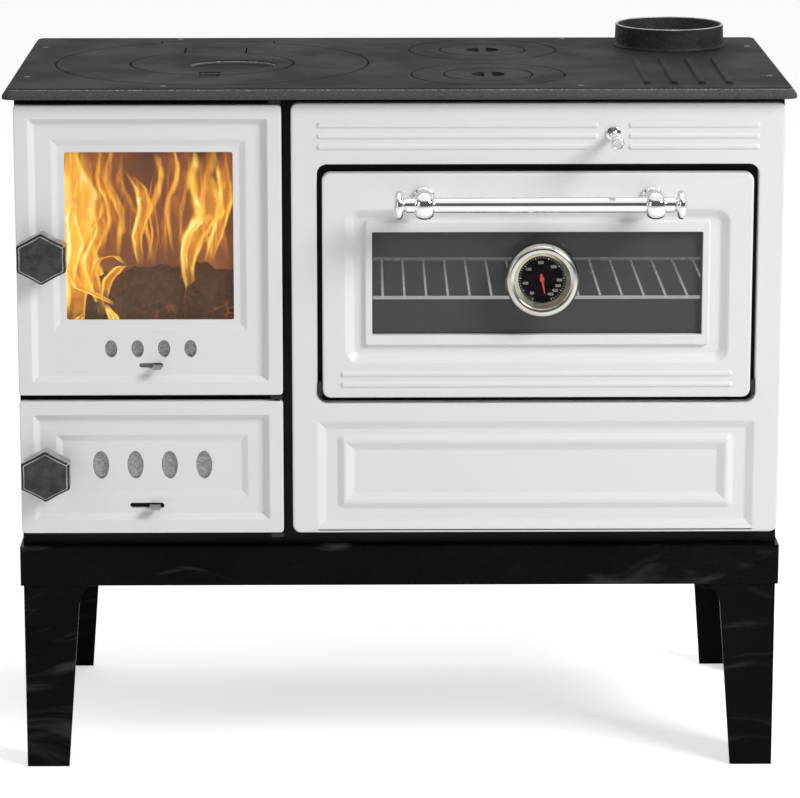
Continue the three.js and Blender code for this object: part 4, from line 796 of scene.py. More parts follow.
def finishes(sizes, colours):
    """Every finish of the stove, by the name its pieces use."""
    iron = colours.cooktop
    # height up to which the ash shutter is painted black as shade
    painted_shade_height = DOORS["ash"][0].z + PAINTED_SHADE_UP
    return {
        "enamel": finish("White enamel", *tones(colours.enamel, 0.004), (0.34, 0.36), cloud=24.0, fleck=260.0,
                         grain_scale=160.0, depth=0.035, pits=0.0, Coat_Weight=0.1, Coat_Roughness=0.3),
        "iron": cast_iron("Cooktop iron", iron),
        # pale ground rim below the top, with painted highlights on walls and painted glints on the edge
        "worn iron with painted highlights": rubbed_and_highlit(cast_iron("Cooktop iron, rubbed edges and painted highlights", iron), PLATE_TOP - 1.1, colours.rim),
        "rough iron": finish("Flue iron", *tones(iron, 0.45), (0.5, 0.66), cloud=30.0, fleck=500.0,
                             grain_scale=420.0, depth=0.9, pits=0.8, Specular_IOR_Level=0.2),
        "ground iron": finish("Ground iron", *tones(shade(colours.rim, 3.4), 0.45), (0.35, 0.5), 0.3,
                              cloud=60.0, fleck=800.0, grain_scale=900.0, depth=0.1),
        "screw": finish("Screw steel", (0.04, 0.04, 0.04), (0.12, 0.12, 0.12), (0.35, 0.5), 0.7, cloud=60.0,
                        fleck=900.0, grain_scale=900.0, depth=0.1),
        "casing": finish("Black casing", (0.004, 0.004, 0.0045), (0.008, 0.008, 0.0085), (0.35, 0.5),
                         cloud=6.0, grain_scale=700.0, depth=0.06, pits=0.2, Specular_IOR_Level=0.12),
        # painted reflection: faint paler streaks on the black base
        "base": with_painted_reflections(finish("Black base enamel", (0.002, 0.002, 0.0024), (0.005, 0.005, 0.0056),
                              (0.1, 0.26), cloud=5.0, grain_scale=120.0, depth=0.07, pits=0.0,
                              Specular_IOR_Level=0.035),
                       (0.034, 0.034, 0.036)),
        "dark iron": finish("Dark iron", (0.018, 0.018, 0.019), (0.04, 0.038, 0.036), (0.55, 0.75), 0.3,
                            cloud=24.0, grain_scale=600.0, depth=0.3),
        "chrome": finish("Chrome", (0.84, 0.85, 0.86), (0.9, 0.91, 0.92), (0.03, 0.08), 1.0, cloud=30.0,
                         fleck=200.0, grain_scale=300.0, depth=0.01),
        "nickel": finish("Satin nickel", (0.58, 0.555, 0.51), (0.7, 0.68, 0.63), (0.16, 0.24), 1.0,
                         cloud=40.0, fleck=700.0, grain_scale=700.0, depth=0.02),
        # painted light: the thermometer's cone and the oven rack glow by emission
        "cream with painted light": cone_finish_with_painted_light("Cream ring, painted light"),
        "wire": wire_finish_with_painted_glow("Rack wire, painted glow"),
        "knob": finish("Knob face", (0.022, 0.022, 0.023), (0.07, 0.07, 0.072), (0.45, 0.6), cloud=70.0,
                       fleck=1000.0, grain_scale=700.0, depth=0.5, Specular_IOR_Level=0.3),
        "knob bevel": finish("Knob bevel", (0.004, 0.004, 0.004), (0.012, 0.012, 0.012), (0.2, 0.3),
                             cloud=60.0, fleck=700.0, grain_scale=500.0, depth=0.05, Specular_IOR_Level=0.35),
        "knob line": finish("Knob line", (0.2, 0.2, 0.2), (0.5, 0.5, 0.5), (0.25, 0.4), 0.7, cloud=60.0,
                            fleck=900.0, grain_scale=700.0, depth=0.04),
        "knob side": finish("Knob edge", (0.24, 0.245, 0.25), (0.5, 0.505, 0.51), (0.25, 0.4), 0.75,
                            cloud=70.0, fleck=700.0, grain_scale=500.0, depth=0.15),
        "dial": finish("Dial black", (0.002, 0.002, 0.002), (0.006, 0.005, 0.005), (0.5, 0.6), cloud=60.0,
                       grain_scale=900.0, depth=0.02, Specular_IOR_Level=0.03),
        "print": finish("Dial print", (0.42, 0.41, 0.38), (0.54, 0.53, 0.5), (0.4, 0.5), cloud=60.0),
        "red": finish("Needle red", *tones(colours.needle, 0.18), (0.3, 0.4), cloud=80.0),
        "brick": finish("Firebrick", (0.05, 0.035, 0.024), (0.26, 0.18, 0.11), (0.85, 0.95), cloud=14.0,
                        fleck=260.0, grain_scale=350.0, depth=1.0, pits=0.9),
        "oven": finish("Oven enamel", (0.018, 0.019, 0.021), (0.022, 0.023, 0.025), (0.4, 0.5), cloud=9.0,
                       fleck=60.0, grain_scale=120.0, depth=0.03, pits=0.0, Specular_IOR_Level=0.2),
        "zinc": galvanised_finish("Galvanised", colours.zinc),
        # painted shade: black low down behind the ash door
        "zinc with painted shade": galvanised_finish("Galvanised, painted shade low down", colours.zinc, painted_shade_height),
        "rope": rope_finish("Seal rope", (0.07, 0.068, 0.064)),
        "oven glass": pane_finish("Oven glass", colours.oven_glass, sizes.glass_cover, 0.03),
        "fire glass": pane_finish("Fire glass", (0.42, 0.23, 0.15), 0.12, 0.02),
        "lens": clear_finish("Lens", 0.0),
        "char": char_finish("Charred logs"),
        "flame curtain": flame_finish("Flames behind"),
        "hot licks": tongue_finish("Hot licks", 0.56, 0.62),
        "bright licks": tongue_finish("Bright licks", 0.4, 0.34),
        "faint licks": tongue_finish("Faint licks", 0.22, 0.04),
    }


# ---- Cooktop -------------------------------------------------------------------------------------

RING_TONGUE = 66.0  # half width of the fire ring's square tongue, at its back
LID_TONGUE = 35.0  # the same of its lid
PLATE_CORNER = 14.0
FLUE_HOLE = 57.5  # radius
RIB = {"middle": 318.6, "pitch": 30.1, "half_width": 4.5, "front": 6.0, "back": 201.0, "corner": 4.4,
       "rise": 3}
SIDE_SCREWS = ((-414.5, 414.5), (68.0, 314.0))  # across, and back from the frame's face
EDGE_SCREWS = ((-259.5, 199.0), (-6.0, 384.0))
SCREW_DOME = 0.9
FIRE_DISH = {"x": 24, "y": -8, "half_width": 50, "half_length": 37}  # from the middle of the lid
SMALL_DISH = {"radius": 19.0, "angle": 1.33, "middle": 11.0, "size": 15.0}  # half moons beside the bar
DISH_DEPTH = 4
LIFT_SLOT = {"half_width": 11.75, "half_length": 21.5, "depth": 3}


def tabbed(radius, half, reach, grow=0.0, sides=120):
    """A circle of radius + grow whose back is a square tongue: +-(half + grow) wide, out to reach + grow."""
    r, h = radius + grow, half + grow
    start = math.acos(min(h / r, 1.0))
    turn = np.linspace(np.pi - start, 2 * np.pi + start, sides)
    arc = np.stack((r * np.cos(turn), r * np.sin(turn)), 1)
    return np.concatenate((arc, [[h, reach + grow], [-h, reach + grow]]))


def burner_plan():
    """Each burner's centre and its ring's and lid's outlines, as functions of how far they are grown."""
    plan = {}
    for name, (low, high) in BURNERS.items():
        lid_low, lid_high = LIDS[name]
        radius, lid_radius = (high.x - low.x) / 2, (lid_high.x - lid_low.x) / 2
        y, lid_y = low.y + radius, lid_low.y + lid_radius
        if name == "fire":
            ring = partial(tabbed, radius, RING_TONGUE, high.y - y)
            lid = partial(tabbed, lid_radius, LID_TONGUE, lid_high.y - lid_y, sides=96)
        else:
            ring = partial(ellipse, 0, 0, radius, radius, sides=96)
            lid = partial(ellipse, 0, 0, lid_radius, lid_radius, sides=72)
        plan[name] = {"x": middle_of(low, high, "x")[0], "y": y, "radius": radius, "ring": ring,
                      "lid_y": lid_y, "lid_radius": lid_radius, "lid": lid}
    return plan


def shifted(outline, x, y):
    """An outline moved by (x, y)."""
    return lambda grow: outline(grow) + (x, y)


def seat_in(skin, outline, radius, x, y, under):
    """The pocket for a ring or a lid: down its outline, in along the ledge, and down a round hole."""
    edge = shifted(outline, x, y)
    hole = partial(ellipse, x, y, radius - LEDGE, radius - LEDGE, sides=96)
    skin.skirt(edge, eased([(RING_GAP + 1.2, PLATE_TOP), (RING_GAP, PLATE_TOP), (RING_GAP, SEAT)], 0.7))
    skin.flat(SEAT, edge(RING_GAP), hole(0))
    skin.skirt(hole, [(0, SEAT), (0, under)])
    return edge(RING_GAP + 1.2), hole(0)


def filled(skin, outline, radius, x, y):
    """The outside of a ring or a lid: its edge down to the flange's underside, and its round body below."""
    edge = shifted(outline, x, y)
    body_radius = radius - LEDGE - RING_GAP
    body = partial(ellipse, x, y, body_radius, body_radius, sides=96)
    skin.skirt(edge, eased([(-1.2, PLATE_TOP), (0, PLATE_TOP), (0, FLANGE_UNDER)], 0.7))
    skin.flat(FLANGE_UNDER, edge(0), body(0))
    skin.skirt(body, [(0, FLANGE_UNDER), (0, HANG)])
    return edge(-1.2), body(0)


def plate_skin(plan):
    """The cast plate: a rounded rim with draft, a deck with pockets, and ribs stood on it."""
    skin = Skin("deck")
    rim = partial(rounded_rectangle, PLATE_LOW.x, PLATE_HIGH.x, PLATE_LOW.y, PLATE_HIGH.y, PLATE_CORNER)
    bottom = PLATE_LOW.z
    skin.skirt(rim, eased([(-9, PLATE_TOP), (-6, PLATE_TOP), (-0.2, bottom + 4), (0, bottom), (-8, bottom),
                           (-8, DECK_UNDER)], [1.6, 1.4, 0.8, 0.8]))
    flue = partial(ellipse, *middle_of(COLLAR_LOW, COLLAR_HIGH, "xy"), FLUE_HOLE, FLUE_HOLE, sides=64)
    skin.skirt(flue, [(0, PLATE_TOP), (0, DECK_UNDER)])
    tops, unders = [flue(0)], [flue(0)]
    for burner in plan.values():
        top, under = seat_in(skin, burner["ring"], burner["radius"], burner["x"], burner["y"], DECK_UNDER)
        tops.append(top)
        unders.append(under)
    crest = PLATE_TOP + RIB["rise"]
    for x in RIB["middle"] + (np.arange(4) - 1.5) * RIB["pitch"]:
        rib = partial(rounded_rectangle, x - RIB["half_width"], x + RIB["half_width"], RIB["front"],
                      RIB["back"], RIB["corner"])
        skin.skirt(rib, eased([(1.6, PLATE_TOP), (0.2, PLATE_TOP), (-1.6, crest), (-3.4, crest)], 1.3))
        skin.flat(crest, rib(-3.4))
        tops.append(rib(1.6))
    skin.flat(PLATE_TOP, rim(-9), *tops)
    skin.flat(DECK_UNDER, rim(-8), *unders)
    return skin


def screw_skin(radius):
    """Flat screw heads with a low dome: radius and height follow a quarter ellipse."""
    skin = Skin("deck")
    t = np.linspace(0, np.pi / 2, 6)
    dome = np.stack((radius * np.cos(t), PLATE_TOP + SCREW_DOME * np.sin(t)), 1)
    profile = np.concatenate(([[0.0, PLATE_TOP - 1.5], [radius, PLATE_TOP - 1.5]], dome))
    for across, along in (SIDE_SCREWS, EDGE_SCREWS):
        for x in across:
            for y in along:
                skin.turned(profile, "z", (x, y, 0), 24)
    return skin


def ring_skin(burner):
    """A ring: the outside of a filled disc, with the pocket for its lid through it."""
    skin = Skin("deck")
    top, body = filled(skin, burner["ring"], burner["radius"], burner["x"], burner["y"])
    seat, hole = seat_in(skin, burner["lid"], burner["lid_radius"], burner["x"], burner["lid_y"], HANG)
    return skin.flat(PLATE_TOP, top, seat).flat(HANG, body, hole)


def sunk(skin, outline, corners, ease):
    """A dish in the deck: the outline carried down the eased corners to a flat floor; gives its top loop."""
    skin.skirt(outline, eased(corners, ease))
    grow, floor = corners[-1]
    skin.flat(floor, outline(grow))
    return outline(corners[0][0])


def lid_skin(burner, name):
    """A lid, with an oval dish in the large one and two half moons beside a bar in the small ones."""
    skin = Skin("deck")
    x, y = burner["x"], burner["lid_y"]
    floor = PLATE_TOP - DISH_DEPTH
    top, body = filled(skin, burner["lid"], burner["lid_radius"], x, y)
    loops = [top]
    if name == "fire":
        dish = partial(ellipse, x + FIRE_DISH["x"], y + FIRE_DISH["y"], FIRE_DISH["half_width"],
                       FIRE_DISH["half_length"], sides=64)
        loops.append(sunk(skin, dish, [(2, PLATE_TOP), (0, PLATE_TOP), (-4, floor), (-8, floor)], 1.4))
    else:
        turn = np.linspace(-SMALL_DISH["angle"], SMALL_DISH["angle"], 24)
        arc = SMALL_DISH["radius"] * np.stack((np.cos(turn), np.sin(turn)), 1)
        for side in (-1, 1):
            moon = arc * (side, 1) + (x, y)
            centre = np.array((x + side * SMALL_DISH["middle"], y))
            pocket = lambda g: centre + (moon - centre) * (1 + g / SMALL_DISH["size"])
            corners = [(1, PLATE_TOP), (0, PLATE_TOP), (-2, floor), (-3.5, floor)]
            loops.append(sunk(skin, pocket, corners, 0.8))
    return skin.flat(PLATE_TOP, *loops).flat(HANG, body)


def make_cooktop(sizes):
    """The cast plate, its screws, and each burner's ring and lid, with a lifting slot in the fire's pair."""
    plan = burner_plan()
    # the plate's rim takes a pale ground tone with painted glints along its top edge
    piece("cast_plate", plate_skin(plan), "worn iron with painted highlights", "root", ["cooktop_plate"])
    piece("plate_screws", screw_skin(sizes.screw_radius / MM), "screw", "root")
    for name, burner in plan.items():
        ring = piece(f"cast_{name}_ring", ring_skin(burner), "iron", f"{name}_ring",
                     [f"{name}_ring"])
        # the fire lid's dish walls take a painted highlight from the rubbed finish
        lid = piece(f"cast_{name}_lid", lid_skin(burner, name), "worn iron with painted highlights" if name == "fire" else "iron",
                    f"{name}_lid", [f"{name}_lid"])
        if name == "fire":
            x, edge = burner["x"], burner["lid_y"] - burner["lid_radius"]
            half_width, half_length, depth = LIFT_SLOT.values()
            low = (x - half_width, edge - half_length, PLATE_TOP - depth)
            high = (x + half_width, edge + half_length, PLATE_TOP + 2)
            carved(ring, low, high)
            carved(lid, low, high)


def make_flue_collar():
    """A short tapered pipe on a flared foot, and its ground rim, each turned from a closed profile."""
    centre = (*middle_of(COLLAR_LOW, COLLAR_HIGH, "xy"), 0)
    top, bottom, foot = COLLAR_HIGH.z, COLLAR_LOW.z, PLATE_TOP + 0.3
    pipe = closed_profile([(60.4, top - 1.0), (62.0, top - 1.0), (63.6, top - 1.0), (64.2, PLATE_TOP + 7),
                           (64.6, PLATE_TOP + 3), (65.6, PLATE_TOP + 1), (65.6, foot), (57.1, foot),
                           (57.1, bottom), (54.2, bottom), (54.2, PLATE_TOP + 4)],
                          [0.3, 0.2, 4.0, 1.6, 1.0, 0.3, 0.5, 0.3, 0.3, 2.0, 0.4])
    piece("cast_flue_collar", Skin().turned(pipe, "z", centre, 96), "rough iron", "root",
          ["flue_collar"])
    under = top - 0.97
    rim = closed_profile([(60.9, under), (61.3, top - 0.2), (62.4, top), (63.7, top - 0.3), (63.7, under),
                          (62.3, under)], [0.2, 0.4, 0.5, 0.2, 0.2, 0.1])
    piece("flue_collar_rim", Skin().turned(rim, "z", centre, 96), "ground iron", "root")


# ---- Cast doors ----------------------------------------------------------------------------------

# A door's air holes, the slot below them (middle, height, length and width) and its inner field's lower edge.
AIR = {
    "fire": {"pitch": 29.4, "half": (6.9, 9.95), "up": 51.5, "slot": (0.2, 32.5, 26.2, 5.7), "inner": 72.0},
    "ash": {"pitch": 38.5, "half": (9.0, 16.0), "up": 76.4, "slot": (-6.5, 30.2, 38.3, 6.1), "inner": 39.8},
}
PAINTED_SHADE_UP = 37.0  # how far up the ash door the painted shade behind it reaches
LAND = 15.7  # width of a cast door's outer land
FIELD = 39.8  # from a door's edge to its inner field
WINDOW_SIDE = 54.0  # from the fire door's sides and top to its window
WINDOW_UP = 84.0  # from its bottom
KNOB = {"half_width": 27.4, "half_height": 29.2, "side": 14.6, "size": 26.0, "neck": 11.7}


def cast_door_skin(name, edge):
    """A door in steps: land, slope, field, slope and inner field, with window, air holes and slot through."""
    low, high = DOORS[name]
    width, height = high.x - low.x, high.z - low.z
    air = AIR[name]
    skin = Skin("front", (low.x, 0, low.z))
    rim = partial(rounded_rectangle, 0, width, 0, height, 4.0)
    band = partial(rounded_rectangle, LAND, width - LAND, LAND, height - LAND, 2.5)
    inner = partial(rounded_rectangle, FIELD, width - FIELD, air["inner"], height - FIELD, 2.0)
    skin.skirt(rim, eased([(-3, DOOR_FACE), (0, DOOR_FACE), (0, -5), (-8, -5), (-8, DOOR_BACK),
                           (-10, DOOR_BACK)], [edge, 0.8, 0.8, 0.8]))
    skin.skirt(band, eased([(2.2, DOOR_FACE), (0, DOOR_FACE), (-6, DOOR_FIELD), (-8.2, DOOR_FIELD)], 1.9, 5))
    skin.skirt(inner, eased([(2, DOOR_FIELD), (0, DOOR_FIELD), (-7, DOOR_INNER), (-9, DOOR_INNER)], 1.7, 5))
    slot_x, slot_up, slot_long, slot_high = air["slot"]
    slot_x += width / 2
    slot = partial(rounded_rectangle, slot_x - slot_long / 2, slot_x + slot_long / 2, slot_up - slot_high / 2,
                   slot_up + slot_high / 2, slot_high / 2 - 0.3)
    holes = [(slot, DOOR_FIELD)]
    for x in width / 2 + (np.arange(4) - 1.5) * air["pitch"]:
        oval = partial(ellipse, x, air["up"], *air["half"])
        holes.append((oval, DOOR_FIELD if name == "fire" else DOOR_INNER))
    if name == "fire":
        window = partial(rounded_rectangle, WINDOW_SIDE, width - WINDOW_SIDE, WINDOW_UP,
                         height - WINDOW_SIDE, 2.5)
        holes.append((window, DOOR_INNER))
    through_field, through_inner = [], []
    for hole, level in holes:
        skin.skirt(hole, eased([(1.2, level), (0, level), (0, DOOR_BACK), (1.2, DOOR_BACK)], 0.8))
        (through_field if level == DOOR_FIELD else through_inner).append(hole(1.2))
    skin.flat(DOOR_FACE, rim(-3), band(2.2))
    skin.flat(DOOR_FIELD, band(-8.2), inner(2), *through_field)
    skin.flat(DOOR_INNER, inner(-9), *through_inner)
    skin.flat(DOOR_BACK, rim(-10), *(hole(1.2) for hole, level in holes))
    return skin


def make_cast_doors(sizes):
    for name in DOORS:
        skin = cast_door_skin(name, sizes.door_edge / MM)
        piece(f"enamel_{name}_door", skin, "enamel", f"{name}_door", [f"{name}_door"])


def hollow_hexagon(half_width, half_height, side_height, hollow, per_side=24, rounding=3):
    """A six-sided outline with its corners up and down: each side bows in by hollow (1 - (2t - 1)^2), and a
    running average over neighbouring points rounds the corners."""
    right = ((half_width, -side_height), (half_width, side_height), (0, half_height))
    corners = np.array((*right, *((-x, -z) for x, z in right)), float)
    following = np.roll(corners, -1, 0)
    t = (np.arange(per_side) / per_side)[None, :, None]
    line = corners[:, None] + (following - corners)[:, None] * t
    middle = (corners + following) / 2
    inward = -middle / np.linalg.norm(middle, axis=1, keepdims=True)
    points = (line + inward[:, None] * hollow * (1 - (2 * t - 1) ** 2)).reshape(-1, 2)
    for _ in range(rounding):
        points = (np.roll(points, 1, 0) + 2 * points + np.roll(points, -1, 0)) / 4
    return points


def make_knobs(sizes):
    """Six-sided knobs: speckled sides, a black bevel, a thin bright line, and a dark grained face."""
    base = hollow_hexagon(KNOB["half_width"], KNOB["half_height"], KNOB["side"], sizes.knob_hollow / MM)
    outline = lambda g: base * (1 + g / KNOB["size"])
    for name, (low, high) in KNOBS.items():
        x, z = middle_of(low, high)
        centre = (x, 0, z)
        front, back = low.y, DOOR_FACE - 2.0
        neck = [(0, back - 1), (KNOB["neck"], back - 1), (KNOB["neck"], DOOR_FACE - 0.3),
                (0, DOOR_FACE - 0.3)]
        layers = (
            ("body", "knob side", [(-5, front + 4), (-0.4, front + 3.2), (0, front + 3.6), (-0.6, back - 2),
                                   (-3, back), (-12, back)], [0.3, 0.3, 2.0, 1.0]),
            ("bevel", "knob bevel", [(-4, front + 0.4), (-2.2, front + 0.2), (-0.05, front + 2.0),
                                     (-0.3, front + 3.3), (-4, front + 3.6)], [0.3, 1.0, 0.3]),
            ("line", "knob line", [(-4.0, front + 0.4), (-3.2, front), (-2.4, front), (-2.3, front + 0.7),
                                   (-4.0, front + 0.7)], [0.2, 0.2, 0.1]),
            ("face", "knob", [(-8, front + 0.1), (-3.6, front + 0.05), (-3.4, front + 0.6),
                              (-3.7, front + 1)], 0.2),
        )
        for layer, look, corners, ease in layers:
            skin = Skin("front", centre).block(outline, eased(corners, ease))
            piece(f"{name}_knob_{layer}", skin, look, f"{name}_latch",
                  [f"{name}_knob"] if layer == "body" else ())
        skin = Skin().turned(eased(neck, 0.4), "y", centre, 40)
        piece(f"{name}_knob_neck", skin, "knob side", f"{name}_latch")


# ---- Oven front ----------------------------------------------------------------------------------

APERTURE = {"side": 28.3, "top": 68.5, "height": 269.6}  # of the oven door, from the panel's sides and top
DRAWER = {"top": 359.0, "height": 122.6}  # the false drawer front, down from the panel's top
DRAWER_LEVELS = {"recess": -11.5, "ridge": -15.2, "panel": -10.8}
PANEL_BACK = -9.5
BEAD_PITCH = 12.1
PANEL_BEADS = {"top": 25.0, "rod_gap": 16.4}
DOOR_BEADS = {"side": 20.0, "bottom": 15.0}
ROD_HOLE = 4.55  # radius
OVEN_BORDERS = {  # margins at the sides, bottom and top of the oven door, and the radius of the corners
    "dish": (26, 40, 41, 15.0),
    "lip": (46.5, 58.6, 53.4, 3.5),
    "pane": (55.1, 71.2, 66.0, 1.0),
}


def raised_bead(skin, x0, x1, z, level, sizes):
    """A pressed bead with round ends, standing proud of the level, and the loop it leaves in that flat."""
    half = sizes.bead_width / MM / 2
    crest = level - sizes.bead_height / MM
    loop = partial(rounded_rectangle, x0, x1, z - half, z + half, half - 0.05, steps=5)
    skin.skirt(loop, eased([(1.0, level), (0, level), (-2.0, crest), (-3.1, crest)], [0.8, 1.1], 5))
    skin.flat(crest, loop(-3.1))
    return loop(1.0)


def panel_skin(sizes):
    """The oven's front panel: beads above, the door's aperture, and a stepped false drawer front below."""
    skin = Skin()
    x0, x1, z1 = PANEL_LOW.x, PANEL_HIGH.x, PANEL_HIGH.z
    in0, in1 = x0 + APERTURE["side"], x1 - APERTURE["side"]
    rod_x, rod_z = middle_of(ROD_LOW, ROD_HIGH)
    opening_top, drawer_top = z1 - APERTURE["top"], z1 - DRAWER["top"]
    drawer_bottom = drawer_top - DRAWER["height"]
    recess, ridge, panel = DRAWER_LEVELS.values()
    rim = partial(rounded_rectangle, x0, x1, PANEL_LOW.z, z1, 9.0)
    opening = partial(rounded_rectangle, in0, in1, opening_top - APERTURE["height"], opening_top, 11.0)
    rod = partial(ellipse, rod_x, rod_z, ROD_HOLE, ROD_HOLE, sides=32)
    drawer = partial(rounded_rectangle, in0, in1, drawer_bottom, drawer_top, 2.5)
    raised = partial(rounded_rectangle, in0 + 22, in1 - 22, drawer_bottom + 21.5, drawer_top - 15.0, 8.0)
    skin.skirt(rim, eased([(-4, DOOR_FACE), (0, DOOR_FACE), (0, -0.3), (-2.5, -0.3), (-2.5, PANEL_BACK)],
                          [3.2, 0.4, 0.4]))
    skin.skirt(opening, eased([(3, DOOR_FACE), (0, DOOR_FACE), (0, -0.3), (2, -0.3), (2, PANEL_BACK)],
                              [2.4, 0.4, 0.4]))
    skin.skirt(rod, eased([(0.8, DOOR_FACE), (0, DOOR_FACE), (0, PANEL_BACK)], 0.5))
    skin.skirt(drawer, eased([(3, DOOR_FACE), (0, DOOR_FACE), (-9, recess), (-11.5, recess)], 2.4, 5))
    loops = [opening(3), rod(0.8), drawer(3)]
    for i in range(3):
        z = z1 - PANEL_BEADS["top"] - i * BEAD_PITCH
        loops.append(raised_bead(skin, in0, rod_x - PANEL_BEADS["rod_gap"], z, DOOR_FACE, sizes))
        loops.append(raised_bead(skin, rod_x + PANEL_BEADS["rod_gap"], in1, z, DOOR_FACE, sizes))
    skin.skirt(raised, eased([(1.4, recess), (0, recess), (-6.8, ridge), (-9.8, ridge), (-18.8, panel),
                              (-21, panel)], [1.4, 1.6, 1.6, 2.0], 5))
    skin.flat(DOOR_FACE, rim(-4), *loops)
    skin.flat(recess, drawer(-11.5), raised(1.4))
    skin.flat(panel, raised(-21))
    skin.flat(PANEL_BACK, rim(-2.5), opening(2), rod(0))
    return skin


def oven_door_skin(sizes):
    """The pressed oven door: a soft dished border, a raised lip round the glass, and two beads below it."""
    low, high = OVEN_LOW, OVEN_HIGH
    width, height = high.x - low.x, high.z - low.z
    back, behind, floor, crest = -4.6, -12.0, OVEN_FACE + 7, OVEN_FACE + 2

    def bordered(name, steps=6):
        side, below, above, corner = OVEN_BORDERS[name]
        return partial(rounded_rectangle, side, width - side, below, height - above, corner, steps=steps)

    skin = Skin("front", (low.x, 0, low.z))
    rim = partial(rounded_rectangle, 0, width, 0, height, 9.0)
    dish, lip, pane = bordered("dish", 10), bordered("lip"), bordered("pane")
    skin.skirt(rim, eased([(-4.5, OVEN_FACE), (0, OVEN_FACE), (0, back), (-2, back), (-2, behind)],
                          [3.6, 0.3, 0.3], 6))
    skin.skirt(dish, eased([(3, OVEN_FACE), (0, OVEN_FACE), (-9, floor), (-11.4, floor)], [4.5, 3.4], 7))
    skin.skirt(lip, eased([(0.8, floor), (0, floor), (-1.4, crest), (-3, crest)], [0.5, 1.1]))
    skin.skirt(pane, eased([(1.6, crest), (0, crest), (0, behind)], 0.9))
    beads = [raised_bead(skin, DOOR_BEADS["side"], width - DOOR_BEADS["side"],
                         DOOR_BEADS["bottom"] + i * BEAD_PITCH, OVEN_FACE, sizes) for i in range(2)]
    skin.flat(OVEN_FACE, rim(-4.5), dish(3), *beads)
    skin.flat(floor, dish(-11.4), lip(0.8))
    skin.flat(crest, lip(-3), pane(1.6))
    skin.flat(behind, rim(-2), pane(0))
    return skin


def make_oven_front(sizes):
    piece("enamel_oven_panel", panel_skin(sizes), "enamel", "root", ["oven_front_panel"])


def make_oven_door(sizes):
    piece("enamel_oven_door", oven_door_skin(sizes), "enamel", "oven_door",
          ["oven_door_panel"])


HANDLE = {"half": 153.5, "bar": 8.4, "finial": 16.0, "finial_neck": 6.0, "finial_half": 6.2, "bracket": 125.8}
BRACKET_BALL = {"end": 8.9, "bulge": 7.2, "half": 11.0, "bore": 8.6}


def make_handle():
    """A turned bar with lens-shaped finials, carried by two beads on flared posts."""
    x, y, z = middle_of(BAR_LOW, BAR_HIGH, "xyz")
    half, thick, neck = HANDLE["half"], HANDLE["finial_half"], HANDLE["finial_neck"]
    t = np.linspace(0, np.pi, 13)
    lens = np.stack((neck + (HANDLE["finial"] - neck) * np.sin(t), half + thick * np.cos(t)), 1)
    right = np.concatenate(([[0, half + thick]], lens, [[HANDLE["bar"], half - 8.0]]))
    profile = np.concatenate((right, right[::-1] * (1, -1)))
    piece("chrome_handle_bar", Skin().turned(profile, "x", (x, y, z), 40), "chrome", "oven_door",
          ["handle_bar"])
    t = np.linspace(-1, 1, 25)
    end, bore = BRACKET_BALL["half"], BRACKET_BALL["bore"]
    ball = np.stack((BRACKET_BALL["end"] + BRACKET_BALL["bulge"] * np.sqrt(1 - t * t), end * t), 1)
    ball = np.concatenate(([[bore, -end]], ball, [[bore, end], [bore, -end]]))
    foot = OVEN_FACE - 0.3
    post = eased([(0, y + 8.5), (6.5, y + 8.5), (9.5, y + 12), (8.6, foot - 16), (9.4, foot - 6),
                  (12.5, foot - 4), (12.5, foot), (0, foot)], [0.8, 3.0, 6.0, 2.0, 1.2, 0.4], 5)
    for side, mark in ((-1, "left"), (1, "right")):
        centre = x + side * HANDLE["bracket"]
        skin = Skin().turned(ball, "x", (centre, y, z), 40).turned(post, "y", (centre, 0, z), 40)
        piece(f"chrome_bracket_{mark}", skin, "chrome", "oven_door", [f"handle_bracket_{mark}"])


# ---- Thermometer and needle ----------------------------------------------------------------------

MARKS = {"first": 205, "last": 515, "count": 46, "every": 5, "out": 25.4}  # clockwise degrees from the top
LONG_MARK, SHORT_MARK = (2.6, 0.32), (1.6, 0.2)  # length and half width
NUMBER_CLOCK = (216, 257, 307, 355, 41.5, 92, 112, 131, 150)
NUMBER_STEP = 50
NUMBER_SIZE, NUMBER_OUT = 4.3, 19
MARK_FRONT, MARK_BACK, NUMBER_DEPTH = 12.35, 12.52, 12.42
NEEDLE_READING = 169  # clockwise degrees from the top


def dial_marks_skin(at):
    """Short bars set round a circle, each fifth one longer and wider."""
    skin = Skin("front", at)
    angles = np.radians(np.linspace(MARKS["first"], MARKS["last"], MARKS["count"]))
    for i, angle in enumerate(angles):
        long, half = SHORT_MARK if i % MARKS["every"] else LONG_MARK
        along = np.array((math.sin(angle), math.cos(angle)))
        across = np.array((along[1], -along[0])) * half
        near, far = along * (MARKS["out"] - long), along * MARKS["out"]
        loop = np.array((near - across, far - across, far + across, near + across))
        skin.block(lambda grow: loop, [(0, MARK_FRONT), (0, MARK_BACK)])
    return skin


def number_mesh(text, x, z, y):
    """A number on the dial as a thin mesh, centred at (x, z) with its face at y."""
    curve = bpy.data.curves.new("dial_number", "FONT")
    curve.body, curve.size = text, NUMBER_SIZE * MM
    curve.align_x = curve.align_y = "CENTER"
    curve.extrude = 0.06 * MM
    made = placed("dial_number", curve)
    mesh = applied(made)
    bpy.data.objects.remove(made)
    points = np.zeros(len(mesh.vertices) * 3)
    mesh.vertices.foreach_get("co", points)
    across, up, out = points.reshape(-1, 3).T
    mesh.vertices.foreach_set("co", (np.stack((across, -out, up), 1) + to_row([x, y, z])).ravel())
    return mesh


def dial_numbers(x, z, y):
    """The dial's numbers as one mesh, set round a circle."""
    shape = bmesh.new()
    for i, clock in enumerate(NUMBER_CLOCK):
        angle = math.radians(clock)
        mesh = number_mesh(str((i + 1) * NUMBER_STEP), x + NUMBER_OUT * math.sin(angle),
                           z + NUMBER_OUT * math.cos(angle), y)
        shape.from_mesh(mesh)
        bpy.data.meshes.remove(mesh)
    joined = bpy.data.meshes.new("dial_numbers")
    shape.to_mesh(joined)
    shape.free()
    return joined


